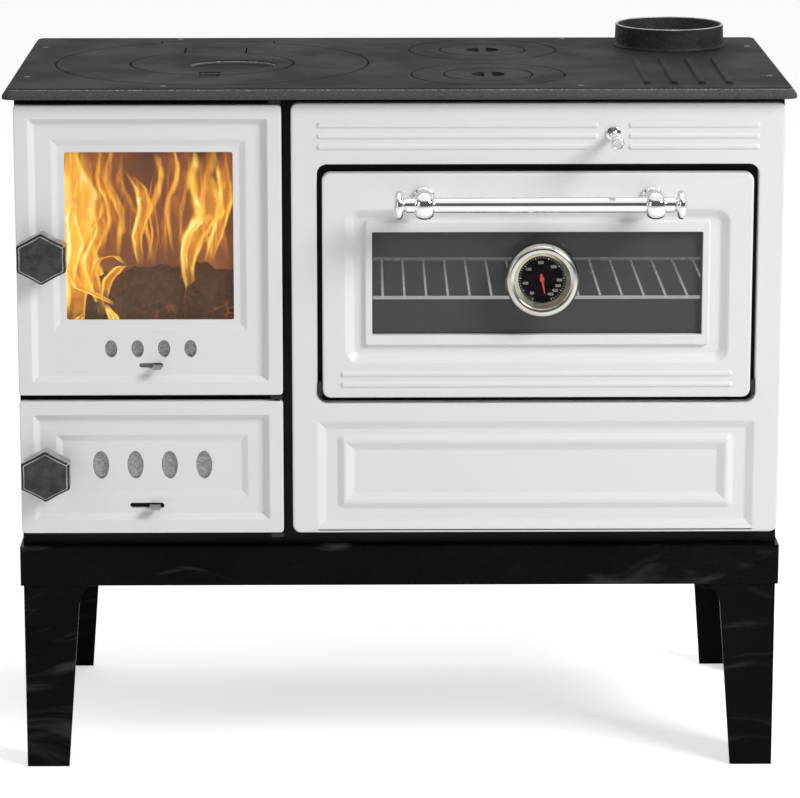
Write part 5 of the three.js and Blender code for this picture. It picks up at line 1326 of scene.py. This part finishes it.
def make_thermometer():
    """A satin case with a cream cone inside its bezel, a printed dial and a lens."""
    x, z = middle_of(GAUGE_LOW, GAUGE_HIGH)
    front = GAUGE_LOW.y
    centre = (x, front, z)
    case = eased([(0, 42), (4, 42), (4, 34), (24, 34), (24, 22), (36, 19), (41, 13), (41, 6.5), (38.6, 1.4),
                  (35, 0), (31.6, 1.2), (31, 2.0), (31, 3.0), (32.9, 3.0), (32.9, 14), (0, 14)],
                 [0.3, 0.5, 0.5, 2, 3, 3, 3, 3.0, 2.6, 1.2, 0.5, 0.3, 0.3, 0.3], 5)
    cone = closed_profile([(31.0, 2.9), (32.8, 2.9), (32.8, 12.9), (26.4, 12.9), (26.4, 12.2)],
                          [0.3, 0.3, 0.2, 0.3, 0.4])
    dial = eased([(0, 12.5), (26.2, 12.5), (26.2, 13.7), (0, 13.7)], 0.1)
    lens = eased([(0, 0.7), (16, 0.8), (30.6, 1.5), (32.5, 1.6), (32.5, 2.4), (0, 2.0)], [4, 3, 0.2, 0.2], 5)
    for name, profile, look, slot, nodes in (
        ("thermometer_body", case, "nickel", "chrome", ["thermometer_case"]),
        ("thermometer_cone", cone, "cream with painted light", "chrome", ()),
        ("thermometer_face", dial, "dial", "dial_black", ["thermometer_dial"]),
    ):
        piece(name, Skin().turned(profile, "y", centre, 72), look, "oven_door", nodes)
    piece("dial_marks", dial_marks_skin(centre), "print", "oven_door")
    numbers = placed("dial_numbers", dial_numbers(x, z, front + NUMBER_DEPTH))
    dressed(numbers, "print", "oven_door")
    piece("thermometer_glass", Skin().turned(lens, "y", centre, 72), "lens", "oven_door",
          ["thermometer_lens"])


def make_needle():
    """A tapered pointer with a short tail, turned to its reading, on a round hub."""
    x, z = middle_of(GAUGE_LOW, GAUGE_HIGH)
    centre = (x, GAUGE_LOW.y, z)
    angle = math.radians(NEEDLE_READING)
    turn = np.array(((math.cos(angle), -math.sin(angle)), (math.sin(angle), math.cos(angle))))
    shape = np.array([(-1.5, -6), (1.5, -6), (0.9, 8), (0.35, 16.5), (-0.35, 16.5), (-0.9, 8)], float) @ turn
    pointer = lambda g: shape * (1 + g / 12)
    edge = eased([(-0.3, 10.9), (0, 10.9), (0, 11.7), (-0.3, 11.7)], 0.2)
    skin = Skin("front", centre).block(pointer, edge)
    skin.turned(eased([(0, 10.4), (2.6, 10.4), (2.6, 12.1), (0, 12.1)], 0.4), "y", centre, 32)
    piece("gauge_needle", skin, "red", "needle", ["thermometer_needle"])


# ---- Damper, rack, base and casing ---------------------------------------------------------------

RACK = {"rod": 1.9, "wire": 1.35, "wires": 19, "pitch": 24.4, "inset": 3.0, "past": 1.5}


def make_damper():
    """The damper's rod with its cupped knob, and the rose it slides through."""
    x, z = middle_of(ROD_LOW, ROD_HIGH)
    centre = (x, 0, z)
    front, end = ROD_LOW.y, ROD_HIGH.y
    rod = eased([(0, front + 1.6), (4.6, front + 1.6), (5.0, front), (6.8, front), (7.8, front + 2.6),
                 (7.8, front + 6.5), (5.6, front + 11), (4.2, front + 14), (4.2, end), (0, end)],
                [0.3, 0.4, 0.9, 1.2, 2.0, 2.0, 1.5, 0.3], 5)
    piece("chrome_damper_rod", Skin().turned(rod, "y", centre, 40), "chrome", "damper",
          ["damper_rod"])
    low, high = box_mm("damper_escutcheon")
    rose = closed_profile([(4.6, low.y + 0.6), (5.2, low.y), (8.5, low.y + 1.4), (8.5, high.y),
                           (4.6, high.y)], [0.4, 0.8, 0.3, 0.3, 0.3])
    piece("chrome_damper_rose", Skin().turned(rose, "y", centre, 40), "chrome", "root",
          ["damper_escutcheon"])


def make_rack():
    """The oven rack: two cross rods and thinner wires laid between them, each a bar closed at its ends."""
    rod, wire, past = RACK["rod"], RACK["wire"], RACK["past"]
    x0, x1 = RACK_LOW.x, RACK_HIGH.x
    x_middle, z = middle_of(RACK_LOW, RACK_HIGH)
    y0, y1 = RACK_LOW.y + RACK["inset"], RACK_HIGH.y - RACK["inset"]
    skin = Skin()
    for y in (y0, y1):
        skin.turned(eased([(0, x0), (rod, x0), (rod, x1), (0, x1)], 0.8, 3), "x", (0, y, z), 14)
    bar = eased([(0, y0 - past), (wire, y0 - past), (wire, y1 + past), (0, y1 + past)], 0.6, 3)
    for x in x_middle + (np.arange(RACK["wires"]) - RACK["wires"] // 2) * RACK["pitch"]:
        skin.turned(bar, "y", (x, 0, z), 12)
    piece("wire_rack", skin, "wire", "root", ["oven_rack"])


def make_base(sizes):
    softened("black_base_frame", "base_frame", sizes.base_edge / MM, "base", "root")
    for end in ("front", "rear"):
        for side in ("left", "right"):
            leg = f"leg_{end}_{side}"
            softened(f"black_{leg}", leg, sizes.leg_edge / MM, "base", "root")


SHOWN_AS_THEY_ARE = {  # CAD nodes that keep their own meshes, by finish
    "casing": ("left_side_panel", "right_side_panel", "back_panel", "floor_panel", "front_frame",
               "ash_partition", "oven_door_inner"),
    "dark iron": ("fire_grate", "fire_latch", "ash_latch", "fire_shutter_guide", "ash_shutter_guide",
                  "fire_glass_retainer", "hinge_ear_top", "hinge_ear_middle", "hinge_ear_bottom",
                  "oven_hinge_left", "oven_hinge_right", "damper_blade"),
    "oven": ("oven_box",),
    "zinc": ("fire_air_shutter", "ash_pan"),
    "zinc with painted shade": ("ash_air_shutter",),
    "brick": ("firebrick_left", "firebrick_right", "firebrick_back"),
    "rope": ("fire_door_seal", "ash_door_seal", "oven_door_seal"),
    "oven glass": ("oven_glass",),
    "fire glass": ("fire_glass",),
}


def make_casing():
    """Puts finishes on the CAD nodes that are shown as they are."""
    for look, names in SHOWN_AS_THEY_ARE.items():
        for name in names:
            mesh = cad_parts[name].data
            mesh.materials.clear()
            mesh.materials.append(finish_of(look))


# ---- Fire ----------------------------------------------------------------------------------------

LOGS = (  # each log's ends, their height over the grate, its radius and the seed of its bark
    ((-388, 74, 30), (-290, 58, 34), 27, 3),
    ((-350, 96, 84), (-246, 84, 74), 39, 5),
    ((-232, 92, 82), (-122, 74, 98), 42, 9),
    ((-388, 150, 40), (-128, 158, 42), 38, 12),
    ((-380, 104, 34), (-126, 96, 34), 32, 21),
)


def log_skin(start, end, radius, seed):
    """A log: radius (1 + sum of sines in the turn and the length), its ends drawn in to closed rough cuts."""
    rng = np.random.default_rng(seed)
    sides, rows = 64, 60
    along = end - start
    length = np.linalg.norm(along)
    along /= length
    u = np.cross((0.0, 0.0, 1.0), along)
    u /= np.linalg.norm(u)
    v = np.cross(along, u)
    t = np.linspace(0, 1, rows)[:, None]
    turn = (np.arange(sides) * 2 * np.pi / sides)[None]
    rough = np.zeros((rows, sides))
    for k in range(1, 9):
        phase, drift = rng.uniform(0, 2 * np.pi, 2)
        ridges = np.sin(k * turn + phase + drift * 3 * t)
        rough += 0.075 / k**0.55 * ridges * np.cos(2 * np.pi * k * 0.7 * t + drift)
    r = radius * (1 + rough)
    point = np.zeros((1, sides))
    r = np.concatenate((point, r[:1] * 0.9, r, r[-1:] * 0.9, point))[..., None]
    t = np.concatenate(([[0.0]], [[0.0]], t * 0.96 + 0.02, [[1.0]], [[1.0]]))[..., None]
    bend = radius * 0.25 * np.sin(np.pi * t + seed) * v
    round_about = r * (np.cos(turn)[..., None] * u + np.sin(turn)[..., None] * v)
    return Skin().grid(start + along * length * t + bend + round_about)


def curtain_skin(x0, x1, z0, z1, y, bow, sway):
    """A curtain of flame: depth y - bow (1 - u^2) + sway sin(2 pi (u + w / 2)), with u across and w up,
    closed by the same sheet 1 mm behind it."""
    u = np.linspace(-1, 1, 49)[None]
    w = np.linspace(0, 1, 33)[:, None]
    x = (x0 + x1) / 2 + (x1 - x0) / 2 * u + 0 * w
    z = z0 + (z1 - z0) * w + 0 * u
    depth = y - bow * (1 - u * u) + sway * np.sin(2 * np.pi * (u + w / 2))
    front = np.stack((x, depth, z), -1)
    back = front + (0, 1.0, 0)
    rim = lambda sheet: np.concatenate((sheet[0], sheet[1:, -1], sheet[-1, -2::-1], sheet[-2:0:-1, 0]))
    skin = Skin().grid(front, closed=False).grid(back, closed=False)
    return skin.grid(np.stack((rim(front), rim(back))))


# Each lick's depth, then its points from the foot up: across, up from the window's sill, and half width.
HOT_LICKS = (
    (62, ((-2, 60, 6), (10, 100, 20), (16, 140, 26), (2, 176, 16), (10, 214, 8))),
    (58, ((4, 24, 4), (2, 52, 9), (10, 84, 12), (4, 116, 8), (12, 140, 3))),
    (56, ((134, 48, 2), (131, 74, 5), (137, 96, 6), (150, 112, 4), (160, 120, 1.5))),
    (44, ((56, -20, 6), (52, 2, 5), (44, 16, 1.5))),
)
BRIGHT_LICKS = (
    (66, ((2, -24, 16), (10, 30, 22), (0, 84, 26), (14, 132, 28), (6, 200, 20))),
    (52, ((58, 12, 3), (34, 24, 7), (12, 36, 9), (2, 60, 6))),
    (84, ((22, -18, 10), (30, 40, 16), (16, 92, 15), (34, 128, 13), (20, 190, 6))),
    (56, ((40, 0, 6), (30, 36, 9), (22, 66, 10), (40, 104, 8), (28, 140, 3))),
    (50, ((40, 18, 4), (44, 42, 8), (60, 60, 8), (80, 62, 3))),
    (50, ((26, 44, 3), (34, 66, 5), (54, 72, 4), (70, 60, 2))),
    (70, ((82, 56, 4), (78, 92, 8), (88, 124, 10), (84, 150, 9), (66, 172, 2))),
    (58, ((140, 12, 3), (134, 60, 10), (142, 92, 17), (162, 120, 21), (150, 160, 20), (160, 214, 16))),
    (78, ((158, 62, 6), (170, 100, 10), (180, 140, 11), (172, 196, 9))),
    (46, ((52, -22, 8), (50, 0, 7), (42, 20, 2))),
    (48, ((14, -20, 16), (10, -4, 9), (20, 8, 2))),
)
FAINT_LICKS = (
    (120, ((60, 60, 12), (72, 110, 18), (50, 160, 14), (62, 215, 10))),
    (130, ((104, 56, 12), (98, 110, 18), (116, 160, 16), (106, 215, 12))),
    (110, ((126, 70, 9), (118, 120, 14), (134, 170, 14), (124, 220, 10))),
    (100, ((44, 80, 10), (56, 120, 14), (40, 160, 12), (48, 210, 8))),
    (92, ((92, 60, 5), (100, 96, 7), (94, 130, 6), (104, 180, 3))),
    (140, ((20, 60, 20), (34, 120, 24), (20, 215, 18))),
    (136, ((176, 60, 14), (160, 120, 18), (178, 215, 14))),
)


def through(points, t):
    """The points' values at t: straight runs, smoothed by averaging over a third of the points' spacing."""
    points = np.asarray(points, float)
    at = np.linspace(0, 1, len(points))
    fine = np.linspace(0, 1, 241)
    reach = int(240 / (len(points) - 1) * 0.36)
    window = np.hanning(2 * reach + 1)
    window /= window.sum()
    columns = []
    for column in points.T:
        straight = np.interp(fine, at, column)
        padded = np.concatenate((2 * straight[0] - straight[reach:0:-1], straight,
                                 2 * straight[-1] - straight[-2:-reach - 2:-1]))
        columns.append(np.interp(t, fine, np.convolve(padded, window, "valid")))
    return columns


LICK_LEAST = 0.4  # the least half width of a lick
LICK_WALL = 0.4


def licks_skin(licks, rise):
    """Sheets of flame along listed lines: (x, z)(t) + w(t) u across, bowed forward by w (1 - u^2) / 3,
    with u across and t up kept as the UV; `rise` scales their height above the sill."""
    sill_x, sill_z = DOORS["fire"][0].x + WINDOW_SIDE, DOORS["fire"][0].z + WINDOW_UP
    u = np.linspace(-1, 1, 17)[None]
    t = np.linspace(0, 1, 61)
    uv = np.stack(((u + 1) / 2 + 0 * t[:, None], t[:, None] + 0 * u), -1).reshape(-1, 2)
    skin = Skin()
    for depth, points in licks:
        x, z, wide = through(points, t)
        wide = np.maximum(wide, LICK_LEAST)[:, None]
        across = sill_x + x[:, None] - depth * 0.06 + wide * u
        back = depth - wide / 3 * (1 - u * u) + 6 * np.sin(5 * t)[:, None]
        up = sill_z + z[:, None] * rise - depth * 0.19 + 0 * u
        skin.grid(np.stack((across, back, up), -1), closed=False)
    return skin, np.tile(uv, (len(licks), 1))


def make_licks(name, licks, look, rise):
    """The sheets of some licks with their UV, given a thin wall so that they are closed."""
    skin, uv = licks_skin(licks, rise)
    mesh = mesh_of(name, skin)
    layer = mesh.uv_layers.new(name="lick")
    corner = np.zeros(len(mesh.loops), np.int32)
    mesh.loops.foreach_get("vertex_index", corner)
    layer.data.foreach_set("uv", uv[corner].ravel())
    obj = placed(name, mesh)
    wall = obj.modifiers.new("Thickness", "SOLIDIFY")
    wall.thickness = LICK_WALL * MM
    dressed(obj, look, "root", sharp=80.0)


CURTAIN = {"inset": 28, "foot": 4, "top": 738, "depth": 232, "bow": 26, "sway": 8}


def make_fire(sizes):
    """Charred logs stacked on the grate, with a curtain and licks of flame round them."""
    bed = GRATE_HIGH.z
    for i, (start, end, radius, seed) in enumerate(LOGS):
        log = log_skin(np.add(start, (0, 0, bed)), np.add(end, (0, 0, bed)), radius, seed)
        piece(f"log_{i + 1}", log, "char", "root", sharp=60.0)
    curtain = curtain_skin(GRATE_LOW.x + CURTAIN["inset"], GRATE_HIGH.x - CURTAIN["inset"],
                           bed + CURTAIN["foot"], CURTAIN["top"], CURTAIN["depth"], CURTAIN["bow"],
                           CURTAIN["sway"])
    piece("flame_curtain", curtain, "flame curtain", "root", sharp=80.0)
    make_licks("hot_licks", HOT_LICKS, "hot licks", sizes.flame_rise)
    make_licks("bright_licks", BRIGHT_LICKS, "bright licks", sizes.flame_rise)
    make_licks("faint_licks", FAINT_LICKS, "faint licks", sizes.flame_rise)


# ---- Stage ---------------------------------------------------------------------------------------

CAMERA = {"place": (-41.3, -4000.0, 1361.5), "turn": (0.2101, 0.0104, 0.0), "rise": -0.09}  # turn in radians
FLOOR_REACH = 30.0
FLOOR_DROP = 0.0005  # metres below the feet
LAMPS = (  # name, place, what it faces, width and height in metres, and its share of the main lamp's power
    ("key", (2.5, -2.1, 2.7), (0, 0, 0.45), (1.3, 1.3), 1.0),
    ("side", (-2.8, -2.2, 1.5), (0, 0, 0.4), (1.4, 1.8), 0.1),
    ("top", (0.2, 0.4, 3.2), (0, 0, 0.7), (2.2, 1.4), 0.25),
)


def make_floor():
    """A pale floor that takes the shadow, and shows white to the camera and faintly to gloss."""
    near, far = -FLOOR_REACH, FLOOR_REACH
    mesh = bpy.data.meshes.new("floor")
    mesh.from_pydata([(near, near, 0), (far, near, 0), (far, far, 0), (near, far, 0)], [], [(0, 1, 2, 3)])
    floor = placed("floor", mesh)
    floor.location.z = -FLOOR_DROP
    material, tree, shader, _ = bare("Pale floor")
    set_shader(shader, Base_Color=(0.86, 0.86, 0.86, 1), Roughness=0.85, Emission_Strength=0.6)
    rays = node(tree, "ShaderNodeLightPath").outputs
    unlit = math_node(tree, "MAXIMUM", times(tree, rays["Is Glossy Ray"], 0.42), rays["Is Transmission Ray"])
    seen = math_node(tree, "MAXIMUM", rays["Is Camera Ray"], unlit)
    tree.links.new(seen, shader.inputs["Emission Color"])
    mesh.materials.append(material)


def make_surround(stage):
    """White to the camera and through glass, a room with a dark front for gloss, and soft fill elsewhere."""
    world = bpy.data.worlds.new("Studio")
    bpy.context.scene.world = world
    world.use_nodes = True
    tree = world.node_tree
    background = tree.nodes["Background"].inputs
    background["Color"].default_value = WHITE
    rays = node(tree, "ShaderNodeLightPath").outputs
    way = tree.nodes.new("ShaderNodeTexCoord").outputs["Generated"]
    room = math_node(tree, "MAXIMUM", span(tree, part_of(tree, way, "Y"), -0.25, 0.3, 0.1, 1.0),
                     span(tree, part_of(tree, way, "Z"), 0.5, 0.8, 0.0, 1.0))
    lit = span(tree, rays["Is Glossy Ray"], 0.0, 1.0, stage.fill, room)
    seen = math_node(tree, "MAXIMUM", rays["Is Camera Ray"], rays["Is Transmission Ray"])
    tree.links.new(span(tree, seen, 0.0, 1.0, lit, 1.0), background["Strength"])


def make_lamps(stage):
    for name, place, target, size, share in LAMPS:
        data = bpy.data.lights.new(name, "AREA")
        data.shape, data.size, data.size_y = "RECTANGLE", *size
        data.energy = stage.key_power * share
        lamp = placed(name, data)
        lamp.location = place
        lamp.rotation_euler = (Vector(target) - Vector(place)).to_track_quat("-Z", "Y").to_euler()


def make_camera(stage):
    """The camera in front of the stove, tilted down a little, with a small vertical shift."""
    data = bpy.data.cameras.new("camera")
    camera = placed("camera", data)
    data.sensor_fit, data.sensor_width = "HORIZONTAL", 36.0
    data.lens = stage.lens
    data.shift_y = CAMERA["rise"]
    data.clip_end = 100.0
    pitch, yaw, roll = CAMERA["turn"]
    camera.location = to_row(CAMERA["place"])
    camera.rotation_euler = (math.pi / 2 - pitch, roll, -yaw)
    bpy.context.scene.camera = camera


def make_stage(stage):
    make_floor()
    make_surround(stage)
    make_lamps(stage)
    make_camera(stage)
    bpy.context.scene.view_settings.view_transform = "Standard"


# ---- Add-on --------------------------------------------------------------------------------------


def length(name, words, millimetres, least=0.0):
    """A length kept in metres, as Blender keeps lengths, from its value in millimetres."""
    return FloatProperty(name=name, description=words, default=millimetres * MM, min=least * MM,
                         unit="LENGTH", precision=4)


def colour(name, words, value):
    """A colour as three numbers from 0 to 1."""
    return FloatVectorProperty(name=name, description=words, default=value, subtype="COLOR", size=3, min=0.0,
                               max=1.0)


def share(name, words, value, least=0.0):
    """A number from `least` to 1."""
    return FloatProperty(name=name, description=words, default=value, min=least, max=1.0, subtype="FACTOR")


class CookstoveSizes(PropertyGroup):
    """Sizes that change the look of the pieces and not their fit"""

    door_edge: length("Door Edge", "Rounding of the cast doors' outer edges", 2.2, 0.3)
    bead_width: length("Bead Width", "Width of the pressed beads on the oven's front and door", 6.8, 4.0)
    bead_height: length("Bead Height", "How far the pressed beads stand proud", 2.0, 0.2)
    screw_radius: length("Screw Radius", "Radius of the screw heads on the cooktop", 3.9, 1.0)
    knob_hollow: length("Knob Hollow", "How far each side of a knob is drawn in", 0.5)
    base_edge: length("Base Edge", "Rounding of the base frame's edges", 1.3, 0.1)
    leg_edge: length("Leg Edge", "Rounding of the legs' edges", 0.9, 0.1)
    glass_cover: share("Glass Cover", "How much the oven's glass hides of what is behind it", 0.47)
    flame_rise: share("Flame Rise", "Height of the licks of flame against their drawing", 1.0, 0.2)


class CookstoveColours(PropertyGroup):
    """Colours of the stove's finishes"""

    enamel: colour("Enamel", "Colour of the doors and the oven's front", (0.78, 0.78, 0.785))
    cooktop: colour("Cooktop", "Colour of the cast cooktop", (0.018, 0.018, 0.019))
    rim: colour("Cooktop Rim", "Colour of the cooktop's ground rim", (0.105, 0.105, 0.105))
    zinc: colour("Zinc", "Colour of the galvanised shutters", (0.33, 0.335, 0.35))
    oven_glass: colour("Oven Glass", "Tint of the oven's glass", (0.096, 0.096, 0.098))
    needle: colour("Needle", "Colour of the thermometer's needle", (0.5, 0.02, 0.015))


class CookstoveStage(PropertyGroup):
    """Light and lens of the stage"""

    fill: FloatProperty(name="Fill", description="Strength of the surround's light on the stove",
                        default=0.34, min=0.0)
    key_power: FloatProperty(name="Key", description="Power of the main lamp", default=104.0, min=0.0,
                             unit="POWER")
    lens: FloatProperty(name="Lens", description="Camera's focal length", default=165.2, min=1.0,
                        unit="CAMERA")


def make_finishes(sizes, colours):
    """Makes every finish and keeps its material's name for the pieces."""
    for name, material in finishes(sizes, colours).items():
        FINISH_NAMES[name] = material.name


class COOKSTOVE_OT_finishes(Operator):
    """Make every finish of the stove"""

    bl_idname = "cookstove.finishes"
    bl_label = "Finishes"

    def execute(self, context):
        scene = context.scene
        make_finishes(scene.cookstove_sizes, scene.cookstove_colours)
        return {"FINISHED"}


class COOKSTOVE_OT_cooktop(Operator):
    """Make the cast plate, its screws, and each burner's ring and lid"""

    bl_idname = "cookstove.cooktop"
    bl_label = "Cooktop"

    def execute(self, context):
        make_cooktop(context.scene.cookstove_sizes)
        return {"FINISHED"}


class COOKSTOVE_OT_flue_collar(Operator):
    """Make the flue's collar on the plate"""

    bl_idname = "cookstove.flue_collar"
    bl_label = "Flue Collar"

    def execute(self, context):
        make_flue_collar()
        return {"FINISHED"}


class COOKSTOVE_OT_cast_doors(Operator):
    """Make the enamelled fire door and ash door"""

    bl_idname = "cookstove.cast_doors"
    bl_label = "Cast Doors"

    def execute(self, context):
        make_cast_doors(context.scene.cookstove_sizes)
        return {"FINISHED"}


class COOKSTOVE_OT_knobs(Operator):
    """Make the six-sided knobs of the two latches"""

    bl_idname = "cookstove.knobs"
    bl_label = "Knobs"

    def execute(self, context):
        make_knobs(context.scene.cookstove_sizes)
        return {"FINISHED"}


class COOKSTOVE_OT_oven_front(Operator):
    """Make the oven's front panel with its beads and false drawer"""

    bl_idname = "cookstove.oven_front"
    bl_label = "Oven Front"

    def execute(self, context):
        make_oven_front(context.scene.cookstove_sizes)
        return {"FINISHED"}


class COOKSTOVE_OT_oven_door(Operator):
    """Make the oven door's enamelled pressing"""

    bl_idname = "cookstove.oven_door"
    bl_label = "Oven Door"

    def execute(self, context):
        make_oven_door(context.scene.cookstove_sizes)
        return {"FINISHED"}


class COOKSTOVE_OT_handle(Operator):
    """Make the oven door's chrome bar and its two brackets"""

    bl_idname = "cookstove.handle"
    bl_label = "Handle"

    def execute(self, context):
        make_handle()
        return {"FINISHED"}


class COOKSTOVE_OT_thermometer(Operator):
    """Make the thermometer's case, dial, numbers and lens"""

    bl_idname = "cookstove.thermometer"
    bl_label = "Thermometer"

    def execute(self, context):
        make_thermometer()
        return {"FINISHED"}


class COOKSTOVE_OT_needle(Operator):
    """Make the thermometer's red needle"""

    bl_idname = "cookstove.needle"
    bl_label = "Needle"

    def execute(self, context):
        make_needle()
        return {"FINISHED"}


class COOKSTOVE_OT_damper(Operator):
    """Make the damper's rod, its cupped knob and its rose"""

    bl_idname = "cookstove.damper"
    bl_label = "Damper"

    def execute(self, context):
        make_damper()
        return {"FINISHED"}


class COOKSTOVE_OT_rack(Operator):
    """Make the wire rack in the oven"""

    bl_idname = "cookstove.rack"
    bl_label = "Oven Rack"

    def execute(self, context):
        make_rack()
        return {"FINISHED"}


class COOKSTOVE_OT_base(Operator):
    """Make the black base frame and the four legs"""

    bl_idname = "cookstove.base"
    bl_label = "Base and Legs"

    def execute(self, context):
        make_base(context.scene.cookstove_sizes)
        return {"FINISHED"}


class COOKSTOVE_OT_casing(Operator):
    """Put finishes on the casing, the panes and the inner parts"""

    bl_idname = "cookstove.casing"
    bl_label = "Casing"

    def execute(self, context):
        make_casing()
        return {"FINISHED"}


class COOKSTOVE_OT_fire(Operator):
    """Make the charred logs and the flames round them"""

    bl_idname = "cookstove.fire"
    bl_label = "Fire"

    def execute(self, context):
        make_fire(context.scene.cookstove_sizes)
        return {"FINISHED"}


class COOKSTOVE_OT_stage(Operator):
    """Make the floor, the surround, the lamps and the camera"""

    bl_idname = "cookstove.stage"
    bl_label = "Stage"

    def execute(self, context):
        make_stage(context.scene.cookstove_stage)
        return {"FINISHED"}


STEPS = (
    COOKSTOVE_OT_finishes,
    COOKSTOVE_OT_cooktop,
    COOKSTOVE_OT_flue_collar,
    COOKSTOVE_OT_cast_doors,
    COOKSTOVE_OT_knobs,
    COOKSTOVE_OT_oven_front,
    COOKSTOVE_OT_oven_door,
    COOKSTOVE_OT_handle,
    COOKSTOVE_OT_thermometer,
    COOKSTOVE_OT_needle,
    COOKSTOVE_OT_damper,
    COOKSTOVE_OT_rack,
    COOKSTOVE_OT_base,
    COOKSTOVE_OT_casing,
    COOKSTOVE_OT_fire,
    COOKSTOVE_OT_stage,
)


class COOKSTOVE_PT_panel(Panel):
    """Lists the stove's pieces in the sidebar"""

    bl_idname = "COOKSTOVE_PT_panel"
    bl_label = "Cookstove"
    bl_space_type = "VIEW_3D"
    bl_region_type = "UI"
    bl_category = "Cookstove"

    def draw(self, context):
        scene = context.scene
        for holder in (scene.cookstove_sizes, scene.cookstove_colours, scene.cookstove_stage):
            for key in holder.__annotations__:
                self.layout.prop(holder, key)
        for made in STEPS:
            self.layout.operator(made.bl_idname)


CLASSES = (CookstoveSizes, CookstoveColours, CookstoveStage, *STEPS, COOKSTOVE_PT_panel)


def register():
    for made in CLASSES:
        bpy.utils.register_class(made)
    bpy.types.Scene.cookstove_sizes = PointerProperty(type=CookstoveSizes)
    bpy.types.Scene.cookstove_colours = PointerProperty(type=CookstoveColours)
    bpy.types.Scene.cookstove_stage = PointerProperty(type=CookstoveStage)


def unregister():
    del bpy.types.Scene.cookstove_stage
    del bpy.types.Scene.cookstove_colours
    del bpy.types.Scene.cookstove_sizes
    for made in reversed(CLASSES):
        bpy.utils.unregister_class(made)


def main():
    """Makes every piece by the add-on's own operators, in order."""
    register()
    for made in STEPS:
        getattr(bpy.ops.cookstove, made.bl_idname.split(".")[1])()


if __name__ == "__main__":
    main()
